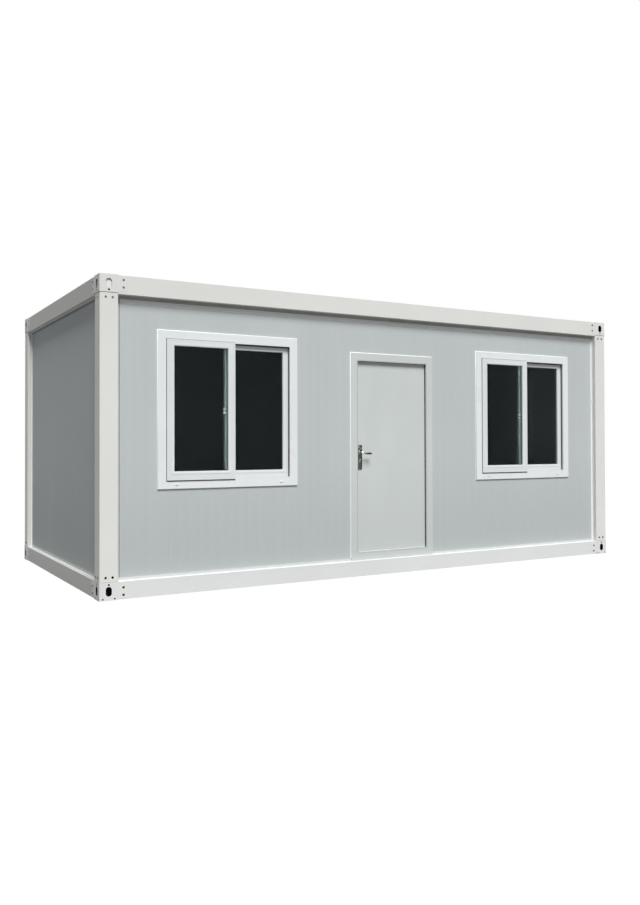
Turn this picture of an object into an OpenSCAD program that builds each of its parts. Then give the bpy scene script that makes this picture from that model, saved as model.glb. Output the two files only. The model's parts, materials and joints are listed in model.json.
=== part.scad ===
// Flat-pack container house: a bolted steel frame with sandwich-panel walls,
// two sliding windows and one inward-opening steel door.
// Units are millimetres. X runs along the length, the door is on the -Y side,
// Z is up, and the origin is on the ground in the middle of the footprint.

/* [Overall size] */
// Length over the corner blocks
house_l = 6000; // [5850:10:6400]
// Width over the corner blocks
house_w = 3000; // [2400:10:3600]
// Height over the corner blocks
house_h = 2700; // [2650:10:3100]

/* [Corner blocks and posts] */
// Width of a corner block along the length, to the inner face of its post
post_x = 160; // [150:1:180]
// Depth of a corner block across the house, to the inner face of its post
post_y = 150; // [145:1:170]
// Sheet thickness of a post
post_wall = 3; // [2:0.5:5]
// Outside bend radius of a post and the outer edge of a block
bend_r = 8; // [6:1:12]
// Height of a corner block
block_h = 150; // [130:1:170]
// Plate thickness of a corner block
block_plate = 6; // [4:1:10]
// How far the outer faces of a block stand proud of the posts and beams
block_proud = 2.5; // [1:0.5:4]
// Height of an upright side hole in a block
side_hole_h = 79; // [60:1:90]
// Width of an upright side hole in a block
side_hole_w = 51; // [40:1:56]
// Length of the lock hole in the outer end of a block, along the house
lock_hole_l = 100; // [80:1:110]
// Width of the lock hole in the outer end of a block
lock_hole_w = 50; // [40:1:60]
// Radius of the small hole between a side hole and the post
small_hole_r = 8.5; // [4:0.5:9]
// Distance of the upper small hole from the block's end at the post
small_hole_in = 20; // [14:1:26]
// Radius of the two drain holes in each outer face of a bottom block
drain_hole_r = 7; // [4:0.5:8]
// Height of the drain holes above the block's outer end
drain_hole_z = 14; // [14:1:20]
// Distance of the drain holes from the sides of the block
drain_hole_x = 30; // [24:1:40]

/* [Beams] */
// Height of a bottom beam
bottom_beam_h = 146; // [120:1:150]
// Height of a top beam
top_beam_h = 156; // [140:1:170]
// Width of the wide flange of a beam
beam_flange = 140; // [135:1:145]
// Width of the narrow upper flange of a top beam
top_flange = 60; // [40:1:80]
// Sheet thickness of a beam
beam_wall = 3.5; // [2:0.5:5]
// Height of the lips of a bottom beam, and of the upper lip of a top beam
beam_lip = 25; // [15:1:30]
// Height of the inner gutter wall of a top beam
gutter_h = 100; // [90:1:110]
// How far a beam stays inside the block's outer end, so that the blocks carry
beam_relief = 4; // [2:1:6]

/* [Floor] */
// Height of a floor joist
joist_h = 120; // [90:1:121]
// Flange width of a floor joist
joist_w = 50; // [40:1:70]
// Sheet thickness of a floor joist
joist_wall = 2.5; // [1.5:0.5:4]
// Number of floor joists
joist_count = 9; // [5:1:11]
// Thickness of the floor board
deck_t = 18; // [15:1:22]
// Thickness of the floor covering
covering_t = 2; // [1.5:0.5:4]

/* [Roof] */
// Height of a roof purlin at the eaves
purlin_h = 80; // [70:1:85]
// Flange width of a roof purlin
purlin_w = 50; // [40:1:60]
// Sheet thickness of a roof purlin
purlin_wall = 2; // [1.5:0.5:3]
// Number of roof purlins
purlin_count = 11; // [7:1:13]
// Gap between an end purlin and the corner blocks
purlin_gap = 2; // [1:1:10]
// Rise of the roof from the eaves to the ridge
ridge_rise = 22; // [10:1:26]
// Thickness of the roof sheet
roof_t = 1.2; // [0.8:0.2:3]
// How far the roof sheet reaches over the gutter
roof_overhang = 25; // [15:1:40]
// Height of a standing seam
seam_h = 20; // [12:1:24]
// Width of a standing seam
seam_w = 16; // [10:1:24]
// Number of standing seams
seam_count = 12; // [8:1:16]
// Thickness of the ceiling panel
ceiling_t = 10; // [6:1:15]

/* [Walls] */
// Thickness of a sandwich panel wall
wall_t = 75; // [60:1:78]
// How far the wall face lies behind the face of the posts
wall_inset = 55; // [45:1:57]
// Face width of the angle trim round a wall
trim_face = 25; // [20:1:35]
// Depth of the leg of the angle trim along the post
trim_leg = 15; // [10:1:25]
// Sheet thickness of the angle trim
trim_t = 1.5; // [1:0.5:3]

/* [Windows] */
// Centre of the left window from the middle of the house
window_left_x = -1799; // [-1850:1:-1700]
// Centre of the right window from the middle of the house
window_right_x = 1751; // [1700:1:1850]
// Distance of a window's face flange below the top beams
window_drop = 270; // [250:1:400]
// Outside width and height of a window's face flange
window_size = 1366; // [1300:1:1400]
// Face width of the window flange
window_flange_w = 79; // [70:1:90]
// How far the window and door flanges stand proud of the wall
flange_t = 12; // [8:1:20]
// Thickness of the window frame's lining inside the wall
window_lining = 30; // [28:1:34]
// How far the inner sash runs into the lining at its side
sash_pocket = 12; // [8:1:26]
// How far the inner sash runs into the lining at the sill and head
sash_groove = 10; // [6:1:14]
// Thickness of a sash
sash_t = 35; // [30:1:36]
// How far the outer sash stands proud of the flange
sash_proud = 8; // [5:1:10]
// How far the outer sash laps over the flange above and below
sash_lap = 8; // [5:1:12]
// Air gap between the two sashes
sash_gap = 5; // [4:1:7]
// Clearance over a sash, below the head
sash_head_gap = 5; // [3:1:8]
// Width of a sash stile
sash_stile = 67; // [55:1:75]
// Height of a sash's top rail
sash_top_rail = 56; // [45:1:65]
// Height of a sash's bottom rail
sash_bottom_rail = 74; // [55:1:80]
// How far the two sashes lap in the middle of the window
sash_overlap = 85; // [75:1:100]
// Thickness of a glass pane
glass_t = 5; // [4:1:8]
// Height of the latch on the meeting stile
latch_h = 34; // [25:1:45]
// Face width of the trim round the window inside the room
inner_trim_w = 60; // [50:1:70]
// Thickness of the trim round the window inside the room
inner_trim_t = 4; // [2:1:6]

/* [Door] */
// Centre of the door from the middle of the house
door_x = -23; // [-60:1:60]
// Outside width of the door frame's face
door_frame_w = 990; // [980:1:1040]
// Height of the door frame above the bottom beam
door_frame_h = 2025; // [1980:1:2060]
// Face width of the door frame's jambs
door_jamb = 77; // [70:1:92]
// Face height of the door frame's head
door_head = 75; // [70:1:85]
// Face height of the door frame's sill
door_sill = 76; // [70:1:85]
// How far the face flange laps over the wall
door_flange_lap = 20; // [15:1:25]
// Depth of the stop in front of the leaf, from the flange's face
door_stop_d = 22; // [16:1:34]
// Width of the stop that the leaf closes against
door_stop_w = 15; // [13:1:17]
// Clearance round the leaf
door_gap = 5; // [5:0.5:6]
// Clearance of the leaf on its latch side
latch_gap = 8; // [8:0.5:9]
// Thickness of the leaf
leaf_t = 58; // [46:1:60]
// Radius of a hinge knuckle
knuckle_r = 8; // [7:0.5:9]
// Radius of a hinge pin
pin_r = 4; // [3:0.5:5]
// Length of one hinge, both knuckles together
hinge_l = 100; // [80:1:120]
// Number of hinges
hinge_count = 3; // [2:1:4]
// Distance of the outer hinges from the ends of the leaf
hinge_end = 190; // [150:1:260]
// Width of a hinge plate
hinge_plate_w = 26; // [20:1:32]

/* [Door handle] */
// Distance of the lever's spindle from the leaf's latch edge
backset = 41; // [40:1:50]
// Height of the spindle above the ground
spindle_z = 1204; // [1180:1:1260]
// Width of a handle plate
plate_w = 58; // [44:1:60]
// Height of a handle plate
plate_h = 237; // [220:1:260]
// Distance of the spindle below the plate's top end
plate_top = 71; // [60:1:80]
// Thickness of a handle plate
plate_t = 6; // [4:1:8]
// Radius of the lever's neck
neck_r = 9; // [8:0.5:11]
// How far the lever's arm stands off the plate
neck_l = 45; // [40:1:60]
// Radius of the lever's arm
arm_r = 7.5; // [6:0.5:8]
// Length of the lever from the spindle to its tip
arm_l = 110; // [100:1:130]
// How far the arm drops below the spindle
arm_drop = 12; // [8:1:20]
// Bend radius of the S in the lever's arm
arm_bend_r = 30; // [20:1:40]
// Radius of the spindle between the two levers
spindle_r = 4; // [3:0.5:4.5]
// Radius of the key cylinder's boss
key_r = 10; // [8:0.5:12]

/* [Hidden] */

$fn = 64;

// Colours of the real finishes
frame_grey = [0.86, 0.86, 0.84];
panel_grey = [0.73, 0.75, 0.75];
window_white = [0.88, 0.90, 0.90];
door_grey = [0.79, 0.80, 0.80];
galvanised = [0.62, 0.64, 0.65];
glass_dark = [0.12, 0.15, 0.16, 0.5];
steel_dark = [0.42, 0.42, 0.40];

eps = 1;                 // how far a cutting tool passes the face that it cuts
running = 0.05;          // radial clearance of a pin or neck in its bore
knuckle_gap = 0.3;       // axial gap between two knuckles

half_l = house_l / 2;
half_w = house_w / 2;

// Heights
floor_z = block_h;                                   // top of the bottom beams and joists
roof_beam_z = house_h - beam_relief - top_beam_h;    // underside of the top beams
post_top_z = house_h - block_h;
eaves_z = roof_beam_z + gutter_h;                    // where the roof sheet rests
purlin_z = eaves_z - purlin_h;
beam_in = block_proud + beam_flange;                 // inner edge of the beams, from a house face
ceiling_z = purlin_z - ceiling_t;
room_floor_z = floor_z + deck_t + covering_t;

// Planes of the walls, measured from a house face towards the room
wall_out = wall_inset;
wall_in = wall_inset + wall_t;
front_y = -half_w + wall_out;                        // outer face of the front wall
room_y = -half_w + wall_in;                          // inner face of the front wall
bay_x = half_l - post_x;                             // half length between the posts
bay_y = half_w - post_y;                             // half width between the posts

// Windows
window_open = window_size - 2 * window_flange_w;     // clear opening inside the flange
window_hole = window_open + 2 * window_lining;       // hole in the wall
window_centres = [window_left_x, window_right_x];
window_z = roof_beam_z - window_drop - window_size / 2;   // height of a window's centre
flange_y = front_y - flange_t;                       // outer face of the flanges
outer_sash_y = flange_y - sash_proud;
inner_sash_y = outer_sash_y + sash_t + sash_gap;
glass_seat = (sash_t - glass_t) / 2;
meeting_x = sash_overlap / 2;                        // the sashes lap from -meeting_x to meeting_x

// Door
door_hole_w = door_frame_w - 2 * door_flange_lap;
door_top_z = floor_z + door_frame_h;
door_hole_top_z = door_top_z - door_flange_lap;
clear_half = door_frame_w / 2 - door_jamb;           // half width between the stops
rebate_half = clear_half + door_stop_w;
clear_low_z = floor_z + door_sill;
clear_high_z = door_top_z - door_head;
leaf_left = door_x - rebate_half + latch_gap;
leaf_right = door_x + rebate_half - door_gap;
leaf_low_z = clear_low_z - door_stop_w + door_gap;
leaf_high_z = clear_high_z + door_stop_w - door_gap;
leaf_y = flange_y + door_stop_d + door_gap;          // outer face of the leaf
leaf_in_y = leaf_y + leaf_t;
hinge_x = leaf_right + door_gap / 2;
hinge_y = max(room_y, leaf_in_y) + knuckle_r + 1;
spindle_x = leaf_left + backset;
plate_z = spindle_z + plate_top - plate_h;
key_z = plate_z + plate_h * 0.4;
hinge_step = (leaf_high_z - leaf_low_z - 2 * hinge_end) / (hinge_count - 1);
hinge_heights = [for (i = [0:hinge_count - 1]) leaf_low_z + hinge_end + i * hinge_step];

// ---------------------------------------------------------------- helpers

// Copies the children to the four corners of the house; each child is drawn at
// the front left corner and is mirrored to the others.
module at_corners() {
    for (mx = [0, 1], my = [0, 1])
        mirror([mx, 0, 0]) mirror([0, my, 0]) children();
}

// A box given by its low and high corners.
module block(low, high) {
    translate(low) cube([high[0] - low[0], high[1] - low[1], high[2] - low[2]]);
}

// A rectangle with rounded corners, from the origin.
module rounded_rectangle(w, d, r) {
    translate([r, 0]) square([w - 2 * r, d]);
    translate([0, r]) square([w, d - 2 * r]);
    for (x = [r, w - r], y = [r, d - r]) translate([x, y]) circle(r);
}

// A flat slot with round ends, centred, its length along X.
module slot(length, width) {
    square([length - width, width], center = true);
    for (s = [-1, 1]) translate([s * (length - width) / 2, 0]) circle(width / 2);
}

// A rectangular ring in the XZ plane, centred on [cx, cz], from y0 to y1.
module window_ring(cx, cz, outer, inner, y0, y1) {
    difference() {
        block([cx - outer / 2, y0, cz - outer / 2], [cx + outer / 2, y1, cz + outer / 2]);
        block([cx - inner / 2, y0 - eps, cz - inner / 2], [cx + inner / 2, y1 + eps, cz + inner / 2]);
    }
}

// Runs a beam's profile along the front side: the profile's X goes into the
// house, its Y goes up, and it is centred on the middle of the house.
module along_front(length, z) {
    translate([-length / 2, -half_w + block_proud, z])
        rotate([90, 0, 90]) linear_extrude(length) children();
}

// Runs a profile along the left side, in the same way.
module along_left(length, z) {
    translate([-half_l + block_proud, length / 2, z])
        rotate([90, 0, 0]) linear_extrude(length) children();
}

// ---------------------------------------------------------------- frame

// The holes in one outer face of a corner block, centred on its width w. They
// are drawn with X along the face and Y up from the block's outer end.
module block_face_holes(w, drains) {
    translate([0, block_h / 2]) rotate(90) slot(side_hole_h, side_hole_w);
    translate([0, block_h - small_hole_in]) circle(small_hole_r);
    if (drains)
        for (s = [-1, 1])
            translate([s * (w / 2 - drain_hole_x), drain_hole_z]) circle(drain_hole_r);
}

// One corner block at the front left corner, its lock hole facing down.
module corner_block(drains) {
    in = block_plate;
    difference() {
        translate([-half_l, -half_w, 0]) linear_extrude(block_h) difference() {
            square([post_x, post_y]);
            difference() {
                translate([-eps, -eps]) square(bend_r + eps);
                translate([bend_r, bend_r]) circle(bend_r);
            }
        }
        block([-half_l + in, -half_w + in, in],
              [-half_l + post_x - in, -half_w + post_y - in, block_h - in]);
        translate([-half_l + post_x / 2, -half_w + in + eps, 0])
            rotate([90, 0, 0]) linear_extrude(in + 2 * eps) block_face_holes(post_x, drains);
        translate([-half_l - eps, -half_w + post_y / 2, 0])
            rotate([90, 0, 90]) linear_extrude(in + 2 * eps) block_face_holes(post_y, drains);
        translate([-half_l + post_x / 2, -half_w + post_y / 2, -eps])
            linear_extrude(in + 2 * eps) slot(lock_hole_l, lock_hole_w);
    }
}

module bottom_corner_blocks() {
    color(frame_grey) at_corners() corner_block(true);
}

module top_corner_blocks() {
    color(frame_grey) at_corners()
        translate([0, 0, house_h]) mirror([0, 0, 1]) corner_block(false);
}

// One post at the front left corner; sx and sy mirror it to another corner.
module post(sx, sy) {
    w = post_x - block_proud;
    d = post_y - block_proud;
    color(frame_grey) mirror([sx, 0, 0]) mirror([0, sy, 0])
        translate([-half_l + block_proud, -half_w + block_proud, block_h])
            linear_extrude(post_top_z - block_h) difference() {
                rounded_rectangle(w, d, bend_r);
                translate([post_wall, post_wall])
                    rounded_rectangle(w - 2 * post_wall, d - 2 * post_wall, bend_r - post_wall);
            }
}

// Section of a bottom beam: a lipped channel open towards the house.
module bottom_beam_section() {
    w = beam_flange;
    h = bottom_beam_h;
    t = beam_wall;
    polygon([[0, 0], [w, 0], [w, beam_lip], [w - t, beam_lip], [w - t, t], [t, t],
             [t, h - t], [w - t, h - t], [w - t, h - beam_lip], [w, h - beam_lip], [w, h], [0, h]]);
}

// Section of a top beam: a deep gutter with a narrow upper flange.
module top_beam_section() {
    w = beam_flange;
    h = top_beam_h;
    t = beam_wall;
    f = top_flange;
    polygon([[0, 0], [w, 0], [w, gutter_h], [w - t, gutter_h], [w - t, t], [t, t],
             [t, h - t], [f - t, h - t], [f - t, h - beam_lip], [f, h - beam_lip], [f, h], [0, h]]);
}

module bottom_beam_front() {
    color(frame_grey) along_front(2 * bay_x, floor_z - bottom_beam_h) bottom_beam_section();
}

module bottom_beam_left() {
    color(frame_grey) along_left(2 * bay_y, floor_z - bottom_beam_h) bottom_beam_section();
}

module top_beam_front() {
    color(frame_grey) along_front(2 * bay_x, roof_beam_z) top_beam_section();
}

module top_beam_left() {
    color(frame_grey) along_left(2 * bay_y, roof_beam_z) top_beam_section();
}

// ---------------------------------------------------------------- floor

// Floor joists: channels across the house, between the lips of the long beams.
module floor_joists() {
    reach = half_w - beam_in;
    step = 2 * (half_l - beam_in) / (joist_count + 1);
    t = joist_wall;
    w = joist_w;
    h = joist_h;
    color(galvanised) for (i = [1:joist_count])
        translate([-half_l + beam_in + i * step - w / 2, reach, floor_z - h])
            rotate([90, 0, 0]) linear_extrude(2 * reach)
                polygon([[0, 0], [w, 0], [w, t], [t, t], [t, h - t], [w, h - t], [w, h], [0, h]]);
}

// The outline of the room between the walls, less the corners of the posts.
module room_outline() {
    difference() {
        square([house_l - 2 * wall_in, house_w - 2 * wall_in], center = true);
        for (sx = [-1, 1], sy = [-1, 1])
            translate([sx * half_l, sy * half_w])
                square([2 * post_x, 2 * post_y], center = true);
    }
}

module floor_board() {
    color([0.70, 0.66, 0.58]) translate([0, 0, floor_z]) linear_extrude(deck_t) room_outline();
}

module floor_covering() {
    color([0.55, 0.56, 0.56]) translate([0, 0, floor_z + deck_t])
        linear_extrude(covering_t) room_outline();
}

// ---------------------------------------------------------------- roof

// A band that follows the pitch of the roof across the house, low at z0.
module pitched_band(reach, z0, t, x0, w) {
    rise = ridge_rise;
    translate([x0, 0, 0]) rotate([90, 0, 90]) linear_extrude(w)
        polygon([[-reach, z0], [0, z0 + rise], [reach, z0],
                 [reach, z0 + t], [0, z0 + rise + t], [-reach, z0 + t]]);
}

// One roof purlin: a channel with a pitched upper flange and its web at x0;
// side is 1 or -1, the way the flanges point.
module purlin(x0, side) {
    reach = half_w - beam_in;
    t = purlin_wall;
    flange_x = side > 0 ? x0 : x0 - purlin_w;
    web_x = side > 0 ? x0 : x0 - t;
    pitched_band(reach, eaves_z - t, t, flange_x, purlin_w);
    block([flange_x, -reach, purlin_z], [flange_x + purlin_w, reach, purlin_z + t]);
    translate([web_x, 0, 0]) rotate([90, 0, 90]) linear_extrude(t)
        polygon([[-reach, purlin_z], [reach, purlin_z], [reach, eaves_z - t / 2],
                 [0, eaves_z + ridge_rise - t / 2], [-reach, eaves_z - t / 2]]);
}

module roof_purlins() {
    reach = bay_x - purlin_gap;
    step = (2 * reach - purlin_w) / (purlin_count - 1);
    color(galvanised) {
        for (i = [0:purlin_count - 2]) purlin(-reach + i * step, 1);
        purlin(reach, -1);
    }
}

// The roof sheet with its standing seams, cut back round the corner blocks.
module roof_sheet() {
    reach_x = half_l - beam_in + roof_overhang;
    reach_y = half_w - beam_in + roof_overhang;
    pitch = 2 * reach_x / seam_count;
    clear = 1;
    color([0.80, 0.81, 0.80]) difference() {
        union() {
            pitched_band(reach_y, eaves_z, roof_t, -reach_x, 2 * reach_x);
            for (i = [0:seam_count - 1])
                pitched_band(reach_y, eaves_z, seam_h, -reach_x + (i + 0.5) * pitch - seam_w / 2,
                             seam_w);
        }
        for (sx = [-1, 1], sy = [-1, 1])
            translate([sx * half_l, sy * half_w, house_h])
                cube([2 * (post_x + clear), 2 * (post_y + clear), 2 * block_h], center = true);
    }
}

module ceiling_panel() {
    color([0.90, 0.91, 0.91]) translate([0, 0, ceiling_z]) linear_extrude(ceiling_t)
        difference() {
            square([house_l - 2 * beam_in, house_w - 2 * beam_in], center = true);
            for (sx = [-1, 1], sy = [-1, 1])
                translate([sx * half_l, sy * half_w])
                    square([2 * post_x, 2 * post_y], center = true);
        }
}

// ---------------------------------------------------------------- walls

// A stretch of front wall from x0 to x1 and from z0 up to the top beam.
module front_panel(x0, x1, z0) {
    block([x0, front_y, z0], [x1, room_y, roof_beam_z]);
}

// The hole in the front wall for a window centred on cx.
module window_hole_cut(cx) {
    block([cx - window_hole / 2, front_y - eps, window_z - window_hole / 2],
          [cx + window_hole / 2, room_y + eps, window_z + window_hole / 2]);
}

module front_wall_left() {
    color(panel_grey) difference() {
        front_panel(-bay_x, door_x - door_hole_w / 2, floor_z);
        window_hole_cut(window_left_x);
    }
}

module front_wall_right() {
    color(panel_grey) difference() {
        front_panel(door_x + door_hole_w / 2, bay_x, floor_z);
        window_hole_cut(window_right_x);
    }
}

module front_wall_over_door() {
    color(panel_grey)
        front_panel(door_x - door_hole_w / 2, door_x + door_hole_w / 2, door_hole_top_z);
}

module back_wall() {
    color(panel_grey) mirror([0, 1, 0]) front_panel(-bay_x, bay_x, floor_z);
}

module left_wall() {
    color(panel_grey) block([-half_l + wall_out, -bay_y, floor_z],
                            [-half_l + wall_in, bay_y, roof_beam_z]);
}

// Angle trim round the edge of a wall bay, half_bay wide on each side. It is
// drawn in the wall's own plane: X along the wall, Y out of its face, Z up.
module bay_trim(half_bay) {
    low = floor_z;
    high = roof_beam_z;
    difference() {
        block([-half_bay, -trim_leg, low], [half_bay, 0, high]);
        block([-half_bay + trim_t, -trim_leg - eps, low + trim_t],
              [half_bay - trim_t, -trim_t, high - trim_t]);
        block([-half_bay + trim_face, -trim_leg - eps, low + trim_face],
              [half_bay - trim_face, eps, high - trim_face]);
    }
}

module wall_trims() {
    color(window_white) {
        difference() {
            translate([0, front_y, 0]) bay_trim(bay_x);
            block([door_x - door_frame_w / 2, -half_w, floor_z - eps],
                  [door_x + door_frame_w / 2, room_y, door_top_z]);
        }
        mirror([0, 1, 0]) translate([0, front_y, 0]) bay_trim(bay_x);
        for (side = [0, 1]) mirror([side, 0, 0])
            translate([-half_l + wall_out, 0, 0]) rotate([0, 0, -90]) bay_trim(bay_y);
    }
}

// ---------------------------------------------------------------- windows

// The window frame: a face flange, and a lining with a deeper groove in which
// the inner sash runs.
module window_frame(cx) {
    color(window_white) difference() {
        union() {
            window_ring(cx, window_z, window_size, window_open, flange_y, front_y);
            window_ring(cx, window_z, window_hole, window_open, front_y, room_y);
        }
        block([cx - window_open / 2 - sash_pocket, inner_sash_y - sash_gap / 2,
               window_z - window_open / 2 - sash_groove],
              [cx + window_open / 2 + sash_pocket, inner_sash_y + sash_t + sash_gap / 2,
               window_z + window_open / 2 + sash_groove]);
    }
}

// The hole for the glass in a sash from x0 to x1 and z0 to z1.
module sash_light(x0, x1, z0, z1, y0, y1) {
    block([x0 + sash_stile, y0, z0 + sash_bottom_rail], [x1 - sash_stile, y1, z1 - sash_top_rail]);
}

// The outer sash, on the left, laps over the flange above and below.
module window_outer_sash(cx) {
    half = window_open / 2;
    low = window_z - half;
    high = window_z + half;
    color(window_white) difference() {
        union() {
            block([cx - half, outer_sash_y, low - sash_lap],
                  [cx + meeting_x, flange_y, high + sash_lap]);
            block([cx - half, flange_y, low],
                  [cx + meeting_x, outer_sash_y + sash_t, high - sash_head_gap]);
        }
        sash_light(cx - half, cx + meeting_x, low - sash_lap, high + sash_lap,
                   outer_sash_y - eps, outer_sash_y + sash_t + eps);
    }
}

// The inner sash, on the right, runs into the groove of the lining.
module window_inner_sash(cx) {
    half = window_open / 2;
    low = window_z - half - sash_groove;
    high = window_z + half + sash_groove - sash_head_gap;
    color(window_white) difference() {
        block([cx - meeting_x, inner_sash_y, low],
              [cx + half + sash_pocket, inner_sash_y + sash_t, high]);
        sash_light(cx - meeting_x, cx + half + sash_pocket, low, high,
                   inner_sash_y - eps, inner_sash_y + sash_t + eps);
    }
}

module window_glass(cx) {
    half = window_open / 2;
    color(glass_dark) {
        sash_light(cx - half, cx + meeting_x,
                   window_z - half - sash_lap, window_z + half + sash_lap,
                   outer_sash_y + glass_seat, outer_sash_y + glass_seat + glass_t);
        sash_light(cx - meeting_x, cx + half + sash_pocket,
                   window_z - half - sash_groove,
                   window_z + half + sash_groove - sash_head_gap,
                   inner_sash_y + glass_seat, inner_sash_y + glass_seat + glass_t);
    }
}

// A small latch on the outer face of each inner sash's meeting stile, seen
// through the glass of the outer sash.
module window_latches() {
    width = 14;
    depth = 11;
    stile_edge = meeting_x - sash_stile;
    color(galvanised) for (cx = window_centres)
        translate([cx + stile_edge - 1, inner_sash_y, window_z])
            rotate([90, 90, 0]) linear_extrude(depth)
                translate([0, -width / 2]) slot(latch_h, width);
}

module window_inner_trims() {
    color(window_white) for (cx = window_centres)
        window_ring(cx, window_z, window_open + 2 * inner_trim_w, window_open,
                    room_y, room_y + inner_trim_t);
}

// ---------------------------------------------------------------- door

module door_frame() {
    color(door_grey) difference() {
        union() {
            block([door_x - door_frame_w / 2, flange_y, floor_z],
                  [door_x + door_frame_w / 2, front_y, door_top_z]);
            block([door_x - door_hole_w / 2, front_y, floor_z],
                  [door_x + door_hole_w / 2, room_y, door_hole_top_z]);
        }
        block([door_x - clear_half, flange_y - eps, clear_low_z],
              [door_x + clear_half, room_y + eps, clear_high_z]);
        block([door_x - rebate_half, flange_y + door_stop_d, clear_low_z - door_stop_w],
              [door_x + rebate_half, room_y + eps, clear_high_z + door_stop_w]);
    }
}

// The frame's half of each hinge: a plate on the frame's inner face, the lower
// knuckle and the pin.
module door_frame_hinges() {
    color(steel_dark) for (z = hinge_heights) {
        block([door_x + rebate_half, room_y, z - hinge_l / 2],
              [door_x + rebate_half + hinge_plate_w, hinge_y - 1, z - knuckle_gap / 2]);
        translate([hinge_x, hinge_y, z - hinge_l / 2])
            cylinder(r = knuckle_r, h = (hinge_l - knuckle_gap) / 2);
        translate([hinge_x, hinge_y, z - hinge_l / 2])
            cylinder(r = pin_r, h = hinge_l - 2);
    }
}

// The leaf's half of each hinge: a plate on the leaf's inner face and the upper
// knuckle, bored for the pin.
module door_leaf_hinges() {
    color(steel_dark) for (z = hinge_heights) {
        difference() {
            union() {
                block([leaf_right - hinge_plate_w, leaf_in_y, z + knuckle_gap / 2],
                      [leaf_right, hinge_y - 1, z + hinge_l / 2]);
                translate([hinge_x, hinge_y, z + knuckle_gap / 2])
                    cylinder(r = knuckle_r, h = (hinge_l - knuckle_gap) / 2);
            }
            translate([hinge_x, hinge_y, z - eps])
                cylinder(r = pin_r + running, h = hinge_l / 2 + 2 * eps);
        }
    }
}

module door_leaf() {
    bore_r = spindle_r + 5.5;
    color(door_grey) difference() {
        block([leaf_left, leaf_y, leaf_low_z], [leaf_right, leaf_in_y, leaf_high_z]);
        translate([spindle_x, leaf_y - eps, spindle_z])
            rotate([-90, 0, 0]) cylinder(r = bore_r, h = leaf_t + 2 * eps);
    }
}

// One handle plate lying on the plane y = 0 and reaching to y = -plate_t, with
// the spindle at the origin and the key cylinder's boss below it.
module handle_plate() {
    corner = 8;
    difference() {
        union() {
            translate([-plate_w / 2, 0, plate_z - spindle_z]) rotate([90, 0, 0])
                linear_extrude(plate_t) rounded_rectangle(plate_w, plate_h, corner);
            translate([0, 0, key_z - spindle_z]) rotate([90, 0, 0])
                cylinder(r = key_r, h = plate_t + 4);
        }
        translate([0, eps, 0]) rotate([90, 0, 0])
            cylinder(r = neck_r + running, h = plate_t + 2 * eps);
    }
}

module door_handle_plates() {
    color(steel_dark) {
        translate([spindle_x, leaf_y, spindle_z]) handle_plate();
        translate([spindle_x, leaf_in_y, spindle_z]) mirror([0, 1, 0]) handle_plate();
    }
}

// A round bar along Z from z = 0 to z = h with its far end rounded off.
module rounded_bar(r, h, round) {
    rotate_extrude() {
        square([r - round, h]);
        square([r, h - round]);
        translate([r - round, h - round]) intersection() {
            circle(round);
            square(round);
        }
    }
}

// One lever on the plane y = 0, reaching to -Y: a neck, an S-bend that drops
// the arm, and a straight arm with a round tip. Each piece starts a little
// inside the one before it and is a trace thinner.
module lever_half() {
    $fn = 24;
    bend = acos(1 - arm_drop / (2 * arm_bend_r));
    lap = 2;
    thinner = 0.1;
    bend_x = 2 * arm_bend_r * sin(bend);
    arm_y = -plate_t - neck_l;
    seat = 0.5;
    translate([0, -seat, 0]) rotate([90, 0, 0])
        rounded_bar(neck_r, plate_t + neck_l - seat + arm_r + 1.5, 3);
    translate([0, arm_y, 0]) {
        rotate([90, 0, 0]) translate([0, -arm_bend_r, 0]) rotate([0, 0, 90 - bend])
            rotate_extrude(angle = bend) translate([arm_bend_r, 0]) circle(arm_r);
        translate([bend_x, 0, arm_bend_r - arm_drop]) rotate([90, 0, 0])
            rotate([0, 0, 270 - bend - lap]) rotate_extrude(angle = bend + lap)
                translate([arm_bend_r, 0]) circle(arm_r - thinner);
        translate([bend_x - lap / 2, 0, -arm_drop]) rotate([0, 90, 0])
            rounded_bar(arm_r - 2 * thinner, arm_l - bend_x + lap / 2, 4);
    }
}

module door_lever() {
    color(steel_dark) translate([spindle_x, leaf_y, spindle_z]) {
        lever_half();
        translate([0, -eps, 0]) rotate([-90, 0, 0]) cylinder(r = spindle_r, h = leaf_t + 2 * eps);
        translate([0, leaf_t, 0]) mirror([0, 1, 0]) lever_half();
    }
}

// ---------------------------------------------------------------- assembly

bottom_corner_blocks();
top_corner_blocks();
post(0, 0);  // post_front_left
post(1, 0);  // post_front_right
post(0, 1);  // post_back_left
post(1, 1);  // post_back_right
bottom_beam_front();
mirror([0, 1, 0]) bottom_beam_front();  // bottom_beam_back
bottom_beam_left();
mirror([1, 0, 0]) bottom_beam_left();  // bottom_beam_right
top_beam_front();
mirror([0, 1, 0]) top_beam_front();  // top_beam_back
top_beam_left();
mirror([1, 0, 0]) top_beam_left();  // top_beam_right
floor_joists();
floor_board();
floor_covering();
roof_purlins();
roof_sheet();
ceiling_panel();
front_wall_left();
front_wall_right();
front_wall_over_door();
back_wall();
left_wall();
mirror([1, 0, 0]) left_wall();  // right_wall
wall_trims();
window_frame(window_left_x);  // window_left_frame
window_outer_sash(window_left_x);  // window_left_outer_sash
window_inner_sash(window_left_x);  // window_left_inner_sash
window_glass(window_left_x);  // window_left_glass
window_frame(window_right_x);  // window_right_frame
window_outer_sash(window_right_x);  // window_right_outer_sash
window_inner_sash(window_right_x);  // window_right_inner_sash
window_glass(window_right_x);  // window_right_glass
window_latches();
window_inner_trims();
door_frame();
door_frame_hinges();
door_leaf();
door_leaf_hinges();
door_handle_plates();
door_lever();
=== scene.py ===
"""Looks of the container house: its finishes, fastenings, seams and seals.

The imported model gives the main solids. This script gives them their finishes,
adds the small pieces that sit on them, and sets up a plain studio.
"""

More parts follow.
